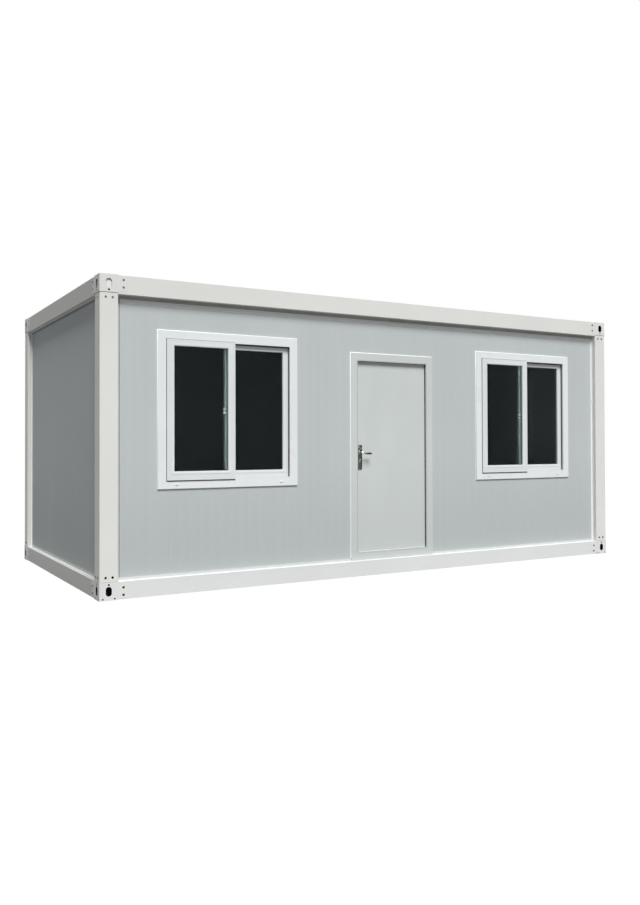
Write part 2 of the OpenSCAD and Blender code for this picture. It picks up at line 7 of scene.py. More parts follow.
from __future__ import annotations

import json
import logging
import math
from collections import defaultdict
from collections.abc import Iterable, Sequence
from dataclasses import dataclass, field
from enum import Enum

import bmesh
import bpy
from mathutils import Matrix, Vector

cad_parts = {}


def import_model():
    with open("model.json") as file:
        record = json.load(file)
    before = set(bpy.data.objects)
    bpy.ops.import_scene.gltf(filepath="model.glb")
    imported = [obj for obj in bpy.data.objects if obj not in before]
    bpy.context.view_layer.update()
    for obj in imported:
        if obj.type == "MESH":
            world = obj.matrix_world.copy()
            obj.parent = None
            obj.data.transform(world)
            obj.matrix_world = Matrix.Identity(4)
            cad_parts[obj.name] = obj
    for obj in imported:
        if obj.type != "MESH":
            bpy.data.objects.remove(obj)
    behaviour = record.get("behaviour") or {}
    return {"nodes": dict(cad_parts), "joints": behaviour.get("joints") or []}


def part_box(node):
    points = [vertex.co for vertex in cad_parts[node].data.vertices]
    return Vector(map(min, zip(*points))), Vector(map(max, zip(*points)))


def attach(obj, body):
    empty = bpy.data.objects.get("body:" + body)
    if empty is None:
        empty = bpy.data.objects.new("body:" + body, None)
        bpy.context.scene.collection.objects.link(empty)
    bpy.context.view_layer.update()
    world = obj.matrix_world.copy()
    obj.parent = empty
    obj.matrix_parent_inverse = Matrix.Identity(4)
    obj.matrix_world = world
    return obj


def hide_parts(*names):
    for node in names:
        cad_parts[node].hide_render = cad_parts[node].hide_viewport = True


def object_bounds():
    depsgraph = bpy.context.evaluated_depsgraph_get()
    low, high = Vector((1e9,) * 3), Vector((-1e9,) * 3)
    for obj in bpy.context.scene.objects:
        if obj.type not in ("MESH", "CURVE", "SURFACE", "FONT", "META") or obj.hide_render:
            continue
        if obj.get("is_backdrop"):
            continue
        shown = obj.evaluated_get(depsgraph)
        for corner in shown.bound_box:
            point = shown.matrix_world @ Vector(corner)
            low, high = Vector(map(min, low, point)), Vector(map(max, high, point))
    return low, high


LOG = logging.getLogger("container_house")

Point = tuple[float, float, float]
Flat = tuple[float, float]
Colour = tuple[float, float, float]
Box = tuple[Vector, Vector]
Hole = tuple[float, float, float, float]
Socket = bpy.types.NodeSocket

BED = 0.0005  # how deep a piece is bedded in what carries it
SKIN = 0.0002  # the same for thin strips and seals
STILL = Matrix.Identity(4).freeze()
NOISE_MIDDLE: Flat = (0.3, 0.7)  # most of a noise lies between these


# ---------------------------------------------------------------- finishes


def linear(colour: Colour) -> tuple[float, float, float, float]:
    """Turns a display colour into the linear one that shaders use.

    Args:
        colour: red, green and blue from 0 to 1, as seen on a screen.

    Returns:
        The linear colour with full alpha.
    """
    r, g, b = (c / 12.92 if c <= 0.04045 else ((c + 0.055) / 1.055) ** 2.4 for c in colour)
    return (r, g, b, 1.0)


def shade(colour: Colour, factor: float) -> Colour:
    """Makes a display colour lighter or darker by a factor."""
    r, g, b = (min(1.0, max(0.0, c * factor)) for c in colour)
    return (r, g, b)


class Graph:
    """Wires the shader nodes of one material or of the sky."""

    def __init__(self, owner: bpy.types.Material | bpy.types.World) -> None:
        """Takes the nodes that a material or a sky starts with.

        Args:
            owner: the material or the sky.
        """
        owner.use_nodes = True
        self.tree = owner.node_tree
        self.shader = self.tree.nodes.get("Principled BSDF")

    def feed(self, into: Socket, value: object) -> None:
        """Fills an input with another node's output or with a plain value.

        Args:
            into: the input.
            value: the output or the value.
        """
        if isinstance(value, bpy.types.NodeSocket):
            self.tree.links.new(value, into)
        else:
            into.default_value = value

    def node(
        self, kind: str, inputs: dict[str | int, object] | None = None, **values: object
    ) -> bpy.types.Node:
        """Adds a node, sets its properties and fills its inputs.

        Args:
            kind: the node's type name.
            inputs: what goes into its inputs.
            values: properties to set on it.

        Returns:
            The new node.
        """
        made = self.tree.nodes.new(kind)
        for key, value in values.items():
            setattr(made, key, value)
        for name, value in (inputs or {}).items():
            self.feed(made.inputs[name], value)
        return made

    def set(self, **values: object) -> None:
        """Fills the shader's own inputs, by their names."""
        for key, value in values.items():
            self.feed(self.shader.inputs[key.replace("_", " ")], value)

    def place(self) -> Socket:
        """Gives the object coordinates, in metres."""
        return self.node("ShaderNodeTexCoord").outputs["Object"]

    def noise(self, scale: float, detail: float, stretch: Point = (1, 1, 1)) -> Socket:
        """Adds a noise texture.

        Args:
            scale: cells a metre.
            detail: how many finer layers it has.
            stretch: how much each direction is multiplied by before.

        Returns:
            The noise value, about 0.5 on average.
        """
        mapping = self.node("ShaderNodeMapping", {"Scale": stretch, "Vector": self.place()})
        inputs = {"Scale": scale, "Detail": detail, "Vector": mapping.outputs["Vector"]}
        return self.node("ShaderNodeTexNoise", inputs).outputs["Fac"]

    def ranged(self, value: Socket, start: Flat, result: Flat, kind: str = "LINEAR") -> Socket:
        """Maps one range of a value to another.

        Args:
            value: the value.
            start: the range that it comes from.
            result: the range that it goes to.
            kind: how it goes from one end to the other.

        Returns:
            The mapped value.
        """
        names = ("From Min", "From Max", "To Min", "To Max")
        inputs = dict(zip(names, (*start, *result))) | {"Value": value}
        made = self.node("ShaderNodeMapRange", inputs, interpolation_type=kind)
        return made.outputs["Result"]

    def spread(self, value: Socket, low: float, high: float) -> Socket:
        """Maps the middle of a noise to a range."""
        return self.ranged(value, NOISE_MIDDLE, (low, high))

    def blend(self, factor: Socket, first: object, second: Colour) -> Socket:
        """Mixes two colours.

        Args:
            factor: 0 gives the first and 1 the second.
            first: a display colour or a colour socket.
            second: a display colour.

        Returns:
            The mixed colour.
        """
        start = linear(first) if isinstance(first, tuple) else first
        inputs = {"Factor": factor, "A": start, "B": linear(second)}
        return self.node("ShaderNodeMix", inputs, data_type="RGBA").outputs["Result"]

    def tint(self, factor: Socket, colour: Colour) -> None:
        """Mixes a display colour over the base colour.

        Args:
            factor: how much of it shows.
            colour: the colour.
        """
        base = self.shader.inputs["Base Color"].links[0].from_socket
        self.set(Base_Color=self.blend(factor, base, colour))

    def near_ground(self, low: float, high: float) -> Socket:
        """Gives 1 at one height and below it, and fades to 0 at another.

        Args:
            low: the lower height, in metres.
            high: the upper height.

        Returns:
            The faded value.
        """
        parts = self.node("ShaderNodeSeparateXYZ", {"Vector": self.place()})
        return self.ranged(parts.outputs["Z"], (low, high), (1.0, 0.0), "SMOOTHSTEP")

    def bump(self, height: Socket, depth: float) -> None:
        """Adds a bump of a given depth in metres on top of any earlier one.

        Args:
            height: the height value, from 0 to 1.
            depth: its full depth in metres.
        """
        inputs = {"Strength": 1.0, "Distance": depth, "Height": height}
        earlier = self.shader.inputs["Normal"].links
        if earlier:
            inputs["Normal"] = earlier[0].from_socket
        self.set(Normal=self.node("ShaderNodeBump", inputs).outputs["Normal"])


@dataclass(frozen=True)
class Finish:
    """A plain finish: a colour with faint variation over a fine bump."""

    name: str
    colour: Colour
    rough: float = 0.45
    metal: float = 0.0
    specular: float = 0.5
    tone: float = 0.02
    tone_scale: float = 1.5
    stretch: Point = (1, 1, 1)
    grain_scale: float = 400.0
    grain_depth: float = 0.00002
    wear: float = 0.08

    def material(self) -> bpy.types.Material:
        """Gives the material, made once."""
        made = bpy.data.materials.get(self.name)
        if made is None:
            made = bpy.data.materials.new(self.name)
            self.wire(Graph(made))
        return made

    def wire(self, graph: Graph) -> None:
        """Builds the nodes of the finish.

        Args:
            graph: the material being made.
        """
        cloud = graph.noise(self.tone_scale, 4.0, self.stretch)
        darker, lighter = shade(self.colour, 1.0 - self.tone), shade(self.colour, 1.0 + self.tone)
        rough, wear = self.rough, self.wear
        graph.set(
            Base_Color=graph.blend(graph.spread(cloud, 0.0, 1.0), darker, lighter),
            Roughness=graph.spread(cloud, rough * (1 - wear), rough * (1 + wear)),
            Metallic=self.metal,
            Specular_IOR_Level=self.specular,
        )
        graph.bump(graph.noise(self.grain_scale, 2.0, self.stretch), self.grain_depth)


@dataclass(frozen=True)
class FramePaint(Finish):
    """Sprayed gloss paint on the steel frame, with a soft orange peel."""

    rough: float = 0.42
    specular: float = 0.07
    tone: float = 0.012
    peel_scale: float = 60.0
    peel_depth: float = 0.00006

    def wire(self, graph: Graph) -> None:
        """Adds the orange peel to the plain finish."""
        super().wire(graph)
        graph.bump(graph.noise(self.peel_scale, 1.0), self.peel_depth)


@dataclass(frozen=True)
class PanelPaint(Finish):
    """Coil-coated sheet: upright ripples of the rolled face, and a darker tone towards the bottom.
    """

    ripple_scale: float = 9.0
    ripple_depth: float = 0.0005
    ripple_stretch: Point = (1, 1, 0.12)
    low_darkening: float = 0.0
    darkening_low: float = 0.25
    darkening_high: float = 1.3

    def wire(self, graph: Graph) -> None:
        """Adds the upright ripples and the darker tone towards the bottom to the plain finish.

        Args:
            graph: the material being made.
        """
        super().wire(graph)
        # Darker towards the bottom, fading out between two heights.
        if self.low_darkening:
            low = graph.near_ground(self.darkening_low, self.darkening_high)
            graph.tint(low, shade(self.colour, 1.0 - self.low_darkening))
        graph.bump(graph.noise(self.ripple_scale, 1.0, self.ripple_stretch), self.ripple_depth)


@dataclass(frozen=True)
class BoardFinish(Finish):
    """Plain floor board with a fine lengthways grain."""

    streak_colour: Colour = (0.52, 0.45, 0.36)
    streak_stretch: Point = (0.4, 9, 1)
    streak_scale: float = 14.0
    streak_share: float = 0.6

    def wire(self, graph: Graph) -> None:
        """Adds the grain to the plain finish.

        Args:
            graph: the material being made.
        """
        super().wire(graph)
        grain = graph.noise(self.streak_scale, 6.0, self.streak_stretch)
        graph.tint(graph.spread(grain, 0.0, self.streak_share), self.streak_colour)


@dataclass(frozen=True)
class GlassFinish(Finish):
    """Dark clear glass, with a faint waviness."""

    rough: float = 0.0
    bend: float = 1.115
    grain_scale: float = 1.5
    grain_depth: float = 0.0002

    def wire(self, graph: Graph) -> None:
        """Sets up the glass.

        Args:
            graph: the material being made.
        """
        graph.set(
            Base_Color=linear(self.colour),
            Transmission_Weight=1.0,
            Roughness=self.rough,
            IOR=self.bend,
            Specular_IOR_Level=self.specular,
        )
        graph.bump(graph.noise(self.grain_scale, 1.0), self.grain_depth)


@dataclass(frozen=True)
class BareMetal(Finish):
    """Plain metal without paint, on the handle and the fastenings."""

    rough: float = 0.3
    metal: float = 1.0
    tone: float = 0.05
    tone_scale: float = 30


@dataclass(frozen=True)
class DullFinish(Finish):
    """Foam, filler, brush or dark steel that hardly shines."""

    rough: float = 0.8
    specular: float = 0.1
    tone: float = 0.04
    tone_scale: float = 8


FRAME_PAINT = FramePaint("frame_enamel", (0.858, 0.861, 0.843))
BASE_PAINT = FramePaint("base_enamel", (0.853, 0.858, 0.856))
# A darker copy of the frame enamel on the end beams: painted shade on the house's ends.
END_BEAM_PAINTED_SHADE = FramePaint("end_beam_painted_shade_enamel", (0.8, 0.802, 0.785), 0.45, specular=0.04, tone=0.015)
PANEL_PAINT = PanelPaint(
    "panel_enamel", (0.733, 0.757, 0.757), 0.5, specular=0.02, tone=0.009,
    tone_scale=3.0, stretch=(1, 1, 0.15), ripple_depth=0.0003, low_darkening=0.045,
)
# Inner panel paint, darker than white to paint the room's shade seen through the glass.
WHITE_PANEL = PanelPaint("inner_panel_paint", (0.69, 0.705, 0.705), 0.5, specular=0.1, tone=0.01)
DOOR_PAINT = PanelPaint(
    "door_enamel", (0.775, 0.797, 0.787), 0.36, specular=0.3, tone=0.012,
    tone_scale=3.0, stretch=(1, 1, 0.5), ripple_depth=0.0003, low_darkening=0.04, darkening_high=1.2,
)
TRIM_PAINT = Finish("trim_paint", (0.9, 0.91, 0.905), 0.35, tone=0.01)
ROOF_PAINT = Finish("roof_paint", (0.79, 0.8, 0.79), tone=0.03)
BASE_STRIP = Finish("base_strip_paint", (0.77, 0.785, 0.785), specular=0.1, tone=0.015)
# A pale strip that paints light into the shade under the top beams.
HEAD_LIGHT_STRIP_PAINT = Finish("head_strip_painted_light", (0.95, 0.958, 0.95), 0.5, specular=0.05, tone=0.015)

WINDOW_PLASTIC = Finish("window_plastic", (0.872, 0.888, 0.89), 0.28, tone=0.01)
SASH_PLASTIC = Finish("filmed_sash_plastic", (0.838, 0.856, 0.858), 0.3, tone=0.012)
BEAD_PLASTIC = Finish("glazing_bead", (0.86, 0.876, 0.878), 0.24, tone=0.005)
TRACK_PLASTIC = Finish("sill_track", (0.69, 0.702, 0.702), 0.5, specular=0.1)
LATCH_PLASTIC = Finish("latch_nylon", (0.85, 0.86, 0.86), 0.3, tone=0.01)
LATCH_METAL = Finish("latch_metal", (0.93, 0.94, 0.93), 0.35, metal=0.2, tone=0.04, tone_scale=40)
LATCH_BASE = Finish("latch_base", (0.3, 0.31, 0.31), 0.5, tone=0.05, tone_scale=40)
DARK_GLASS = GlassFinish("dark_glass", (0.795, 0.83, 0.835))
SEALANT = Finish("white_sealant", (0.96, 0.965, 0.965), 0.3, tone=0.01, tone_scale=12)
DOOR_SEALANT = Finish(
    "door_sealant", (0.885, 0.9, 0.897), 0.4, specular=0.2, tone=0.01, tone_scale=12
)

HANDLE_METAL = BareMetal(
    "dark_handle_metal", (0.28, 0.295, 0.272), 0.28, metal=0.9, tone=0.08, tone_scale=40
)
RIM_METAL = BareMetal("handle_rim_metal", (0.17, 0.18, 0.165), metal=0.9, tone_scale=20)
SCROLL_METAL = BareMetal("scroll_metal", (0.78, 0.79, 0.76), 0.25)
FLUTE_METAL = BareMetal("flute_metal", (0.47, 0.48, 0.455), metal=0.95)
SHANK_METAL = BareMetal("shank_metal", (0.58, 0.58, 0.56), 0.25)
LEVER_METAL = BareMetal("lever_metal", (0.93, 0.93, 0.915), 0.2, tone=0.03)
# Dark grip metal; also the dark strip that paints the shade under the lever's shank.
GRIP_METAL = BareMetal("grip_metal", (0.19, 0.19, 0.185), metal=0.8)
KEY_METAL = BareMetal("key_metal", (0.72, 0.72, 0.69), 0.2, tone=0.03)
HINGE_STEEL = BareMetal("brushed_hinge_steel", (0.6, 0.6, 0.59), 0.4, metal=0.9, tone_scale=20)
SCREW_ZINC = BareMetal("screw_zinc", (0.7, 0.71, 0.71), 0.35, metal=0.95, tone=0.06, tone_scale=60)
ZINC = BareMetal("galvanised", (0.66, 0.68, 0.69), 0.42, metal=0.9, tone=0.08, tone_scale=25)

BOLT_BLACK = DullFinish(
    "black_bolt", (0.03, 0.03, 0.03), 0.6, specular=0.05, tone=0.12, tone_scale=50
)
BOLT_GREY = DullFinish("painted_bolt", (0.46, 0.455, 0.44), 0.6, tone=0.1, tone_scale=50)
# Painted shade: the dark cells behind the holes of the corner blocks.
SHADE_CELL_PAINT = DullFinish(
    "dark_painted_shade_cells", (0.12, 0.12, 0.12), 0.85, specular=0.2, tone=0.1, tone_scale=20
)
# Dark steel inside the holes, partly the cut edge and partly painted shade.
HOLE_EDGE = DullFinish(
    "hole_edge_steel_and_shade", (0.2, 0.2, 0.195), 0.6, metal=0.3, specular=0.2, tone=0.1, tone_scale=60
)
# Lines that paint shade in gaps and grooves: the dark one under the top blocks and in the door
# frame's groove, the pale one over the bottom blocks.
DARK_SHADE_LINE = DullFinish("dark_painted_shade_line", (0.4, 0.4, 0.39), tone=0.05, tone_scale=1.5)
PALE_SHADE_LINE = DullFinish("pale_painted_shade_line", (0.66, 0.665, 0.65), 0.7, tone_scale=1.5)
# Grey strips that paint shade: the paler one under the long walls' heads; the other under the ends'
# heads, beside a post and on a window sash's side.
SHADE_SEAL = DullFinish("grey_painted_shade_strip", (0.58, 0.58, 0.565))
HEAD_SHADE_STRIP = DullFinish("head_painted_shade_strip", (0.655, 0.66, 0.645))
# Grey brush strips in the window's tracks, darkened to paint the shade there.
TRACK_BRUSH_SHADE = DullFinish("track_brush_and_shade", (0.34, 0.35, 0.35), 0.85, tone=0.06, tone_scale=40)
SEAL = Finish("rubber_seal", (0.11, 0.11, 0.11), 0.75, tone=0.05)
BOARD = BoardFinish("plain_board", (0.7, 0.64, 0.54), 0.7, tone=0.04)
# Dark floor vinyl, darkened to paint the room's shade seen through the glass.
VINYL = Finish("floor_vinyl", (0.2, 0.215, 0.215), 0.4, tone=0.06, tone_scale=30)

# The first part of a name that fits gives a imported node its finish.
NODE_FINISHES: dict[str, Finish] = {
    "bottom_corner_blocks": BASE_PAINT,
    "corner_blocks": FRAME_PAINT,
    "post": FRAME_PAINT,
    "beam_left": END_BEAM_PAINTED_SHADE,
    "beam_right": END_BEAM_PAINTED_SHADE,
    "bottom_beam": BASE_PAINT,
    "beam": FRAME_PAINT,
    "joists": ZINC,
    "purlins": ZINC,
    "floor_board": BOARD,
    "floor_covering": VINYL,
    "roof_sheet": ROOF_PAINT,
    "ceiling": WHITE_PANEL,
    "wall_trims": TRIM_PAINT,
    "_wall": PANEL_PAINT,
    "glass": DARK_GLASS,
    "latches": LATCH_PLASTIC,
    "_sash": SASH_PLASTIC,
    "window": WINDOW_PLASTIC,
    "hinges": HINGE_STEEL,
    "handle_plates": HANDLE_METAL,
    "lever": LEVER_METAL,
    "door": DOOR_PAINT,
}


# ---------------------------------------------------------------- shapes


def circle(sides: int) -> list[Flat]:
    """Gives the cosine and sine of each corner of a round section."""
    turns = (2 * math.pi * i / sides for i in range(sides))
    return [(math.cos(a), math.sin(a)) for a in turns]


def about(middle: Flat, half: Flat) -> tuple[Flat, Flat]:
    """Gives two corners of a rectangle from its middle and its half sizes."""
    (x, z), (w, h) = middle, half
    return (x - w, z - h), (x + w, z + h)


def rounded(low: Flat, high: Flat, radius: float, steps: int = 5) -> list[Flat]:
    """Gives the outline of a rectangle with rounded corners.

    Args:
        low: its lower left corner.
        high: its upper right corner.
        radius: the radius of its corners.
        steps: how many edges a corner has.

    Returns:
        The corners, anticlockwise.
    """
    (x0, z0), (x1, z1) = (low[0] + radius, low[1] + radius), (high[0] - radius, high[1] - radius)
    outline = []
    for x, z, turn in ((x1, z1, 0.0), (x0, z1, 0.5), (x0, z0, 1.0), (x1, z0, 1.5)):
        for i in range(steps + 1):
            a = math.pi * (turn + 0.5 * i / steps)
            outline.append((x + radius * math.cos(a), z + radius * math.sin(a)))
    return outline


@dataclass
class Shape:
    """Collects the closed solids of one piece before they become a mesh."""

    verts: list[Vector] = field(default_factory=list)
    faces: list[tuple[int, ...]] = field(default_factory=list)

    def add(
        self,
        verts: Iterable[Sequence[float]],
        faces: Iterable[Sequence[int]],
        place: Matrix = STILL,
    ) -> None:
        """Adds a solid.

        Args:
            verts: its corners.
            faces: its faces as lists of corners.
            place: where it goes.
        """
        start = len(self.verts)
        self.verts += [place @ Vector(v) for v in verts]
        self.faces += [tuple(start + i for i in f) for f in faces]

    def loft(
        self,
        rings: Sequence[Sequence[Sequence[float]]],
        place: Matrix = STILL,
        closed: bool = False,
    ) -> None:
        """Adds a solid that goes from ring to ring, each with as many corners.

        Args:
            rings: the corners of each ring.
            place: where it goes.
            closed: whether the last ring meets the first; if not, both are capped.
        """
        n, count = len(rings[0]), len(rings)
        faces: list[tuple[int, ...]] = []
        for s in range(count if closed else count - 1):
            a, b = s * n, (s + 1) % count * n
            faces += [(a + i, a + (i + 1) % n, b + (i + 1) % n, b + i) for i in range(n)]
        if not closed:
            faces += [tuple(range(n)), tuple(range((count - 1) * n, count * n))]
        self.add([corner for ring in rings for corner in ring], faces, place)

    def prism(
        self, outline: Sequence[Flat], low: float, high: float, place: Matrix = STILL
    ) -> None:
        """Adds an upright plate: an outline in X and Z, with its thickness along Y.

        Args:
            outline: the corners as X and Z.
            low: the near Y.
            high: the far Y.
            place: where it goes.
        """
        self.loft([[(x, y, z) for x, z in outline] for y in (low, high)], place)

    def box(self, low: Sequence[float], high: Sequence[float], place: Matrix = STILL) -> None:
        """Adds a box between two corners."""
        (x0, y0, z0), (x1, y1, z1) = low, high
        self.prism([(x0, z0), (x1, z0), (x1, z1), (x0, z1)], y0, y1, place)

    def turned(self, profile: Sequence[Flat], sides: int, place: Matrix = STILL) -> None:
        """Adds a solid turned about Y.

        Args:
            profile: radius and Y pairs, which start and end on the axis.
            sides: how many sides it has.
            place: where it goes.
        """
        first, *rings, final = profile
        verts: list[Point] = [(0.0, first[1], 0.0), (0.0, final[1], 0.0)]
        verts += [(r * c, y, r * s) for r, y in rings for c, s in circle(sides)]
        last = 2 + (len(rings) - 1) * sides
        faces: list[tuple[int, ...]] = []
        for i in range(sides):
            j = (i + 1) % sides
            faces += [(0, 2 + i, 2 + j), (1, last + j, last + i)]
            faces += [(a + i, a + sides + i, a + sides + j, a + j) for a in range(2, last, sides)]
        self.add(verts, faces, place)

    def turned_ring(self, profile: Sequence[Flat], sides: int, place: Matrix = STILL) -> None:
        """Adds a ring turned about Y from a closed section of radius and Y."""
        rings = [[(r * c, y, r * s) for r, y in profile] for c, s in circle(sides)]
        self.loft(rings, place, closed=True)

    def sweep(
        self, stations: Sequence[tuple[Flat, Flat]], profile: Sequence[Flat], closed: bool = True
    ) -> None:
        """Adds a moulding that follows a path in X and Z with mitred corners.

        Args:
            stations: each corner of the path, with the direction of its mitre.
            profile: the moulding's section, as inset from the path and Y.
            closed: whether the path ends where it starts.
        """
        rings = [
            [(x + dx * inset, y, z + dz * inset) for inset, y in profile]
            for (x, z), (dx, dz) in stations
        ]
        self.loft(rings, closed=closed)

    def ring(
        self, low: Flat, high: Flat, profile: Sequence[Flat], footless: bool = False
    ) -> None:
        """Adds a rectangular moulding; its profile's inset goes inwards.

        Args:
            low: the rectangle's lower left corner.
            high: its upper right corner.
            profile: the moulding's section, as inset and Y.
            footless: leaves its lower side out, as round a doorway.
        """
        (x0, z0), (x1, z1) = low, high
        foot = 0 if footless else 1
        stations = (
            ((x0, z0), (1, foot)), ((x0, z1), (1, -1)),
            ((x1, z1), (-1, -1)), ((x1, z0), (-1, foot)),
        )
        self.sweep(stations, profile, closed=not footless)

    def tube(
        self, path: Sequence[Vector], radii: Sequence[float], sides: int, place: Matrix = STILL
    ) -> None:
        """Adds a round bar along a path, with a radius for each point.

        Args:
            path: the points along its middle.
            radii: its radius at each point.
            sides: how many sides it has.
            place: where it goes.
        """
        rings = []
        up = Vector((0.0, 1.0, 0.0))
        for k, (point, radius) in enumerate(zip(path, radii)):
            along = (path[min(k + 1, len(path) - 1)] - path[max(k - 1, 0)]).normalized()
            if abs(along.dot(up)) > 0.95:
                up = Vector((1.0, 0.0, 0.0))
            side = along.cross(up).normalized()
            up = side.cross(along).normalized()
            rings.append([point + radius * (c * side + s * up) for c, s in circle(sides)])
        self.loft(rings, place)

    def make(
        self, name: str, body: str, slot: str, finish: Finish, bevel: float = 0.0
    ) -> bpy.types.Object:
        """Turns the solids into one piece that rides on a body.

        Args:
            name: the piece's name.
            body: the body that it moves with.
            slot: not used.
            finish: its finish.
            bevel: the radius of its edges, or 0 for sharp ones.

        Returns:
            The new object.
        """
        sharp = 0.6  # radians between two faces that meet in a sharp edge
        mesh = bpy.data.meshes.new(name)
        mesh.from_pydata(self.verts, [], self.faces)
        sculpt = bmesh.new()
        sculpt.from_mesh(mesh)
        bmesh.ops.recalc_face_normals(sculpt, faces=sculpt.faces)
        if bevel:
            edges = [e for e in sculpt.edges if e.calc_face_angle(0.0) > sharp]
            bmesh.ops.bevel(
                sculpt, geom=edges, offset=bevel, segments=2, profile=0.6,
                affect="EDGES", clamp_overlap=True,
            )
        sculpt.to_mesh(mesh)
        sculpt.free()
        mesh.shade_smooth()
        mesh.set_sharp_from_angle(angle=sharp)
        piece = bpy.data.objects.new(name, mesh)
        bpy.context.scene.collection.objects.link(piece)
        mesh.materials.append(finish.material())
        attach(piece, body)
        LOG.info("%s: %d faces on %s", name, len(mesh.polygons), body)
        return piece


@dataclass
class Assembly:
    """The small pieces of one sub-assembly, kept by name until they are made."""

    shapes: defaultdict[str, Shape] = field(
        default_factory=lambda: defaultdict(Shape), init=False, repr=False
    )

    @property
    def prefix(self) -> str:
        """Starts the name of each piece."""
        return ""

    def make(
        self, slot: str, finishes: dict[str, Finish], body: str = "house", bevel: float = 0.0
    ) -> list[bpy.types.Object]:
        """Makes the pieces of one material slot from their shapes.

        Args:
            slot: the record's material slot.
            finishes: the finish of each piece by its name.
            body: the body that they move with.
            bevel: the radius of their edges, or 0 for sharp ones.

        Returns:
            The new objects.
        """
        return [
            self.shapes[name].make(self.prefix + name, body, slot, finish, bevel)
            for name, finish in finishes.items()
        ]


class Side(Enum):
    """A side of the house, numbered by quarter turns from the front."""

    FRONT = 0
    RIGHT = 1
    BACK = 2
    LEFT = 3

    @property
    def long(self) -> bool:
        """Tells whether it is one of the long sides."""
        return self.value % 2 == 0

    def along(self, size: Vector) -> float:
        """Gives the measure of a size that runs along this side."""
        return size.x if self.long else size.y

    def half(self, size: Vector, post: Vector) -> float:
        """Gives half the clear width between this side's two posts."""
        return self.along(size) / 2 - self.along(post)

    def place(self, size: Vector) -> Matrix:
        """Gives the place of a side's own axes.

        X runs to the right as one faces the side, Y goes inwards from the
        house's outer face, and Z goes up.

        Args:
            size: the house's size.

        Returns:
            The matrix from the side's axes to the house's.
        """
        depth = (size.y if self.long else size.x) / 2
        turn = Matrix.Rotation(math.pi / 2 * self.value, 4, "Z")
        return turn @ Matrix.Translation((0.0, -depth, 0.0))


# ---------------------------------------------------------------- pieces


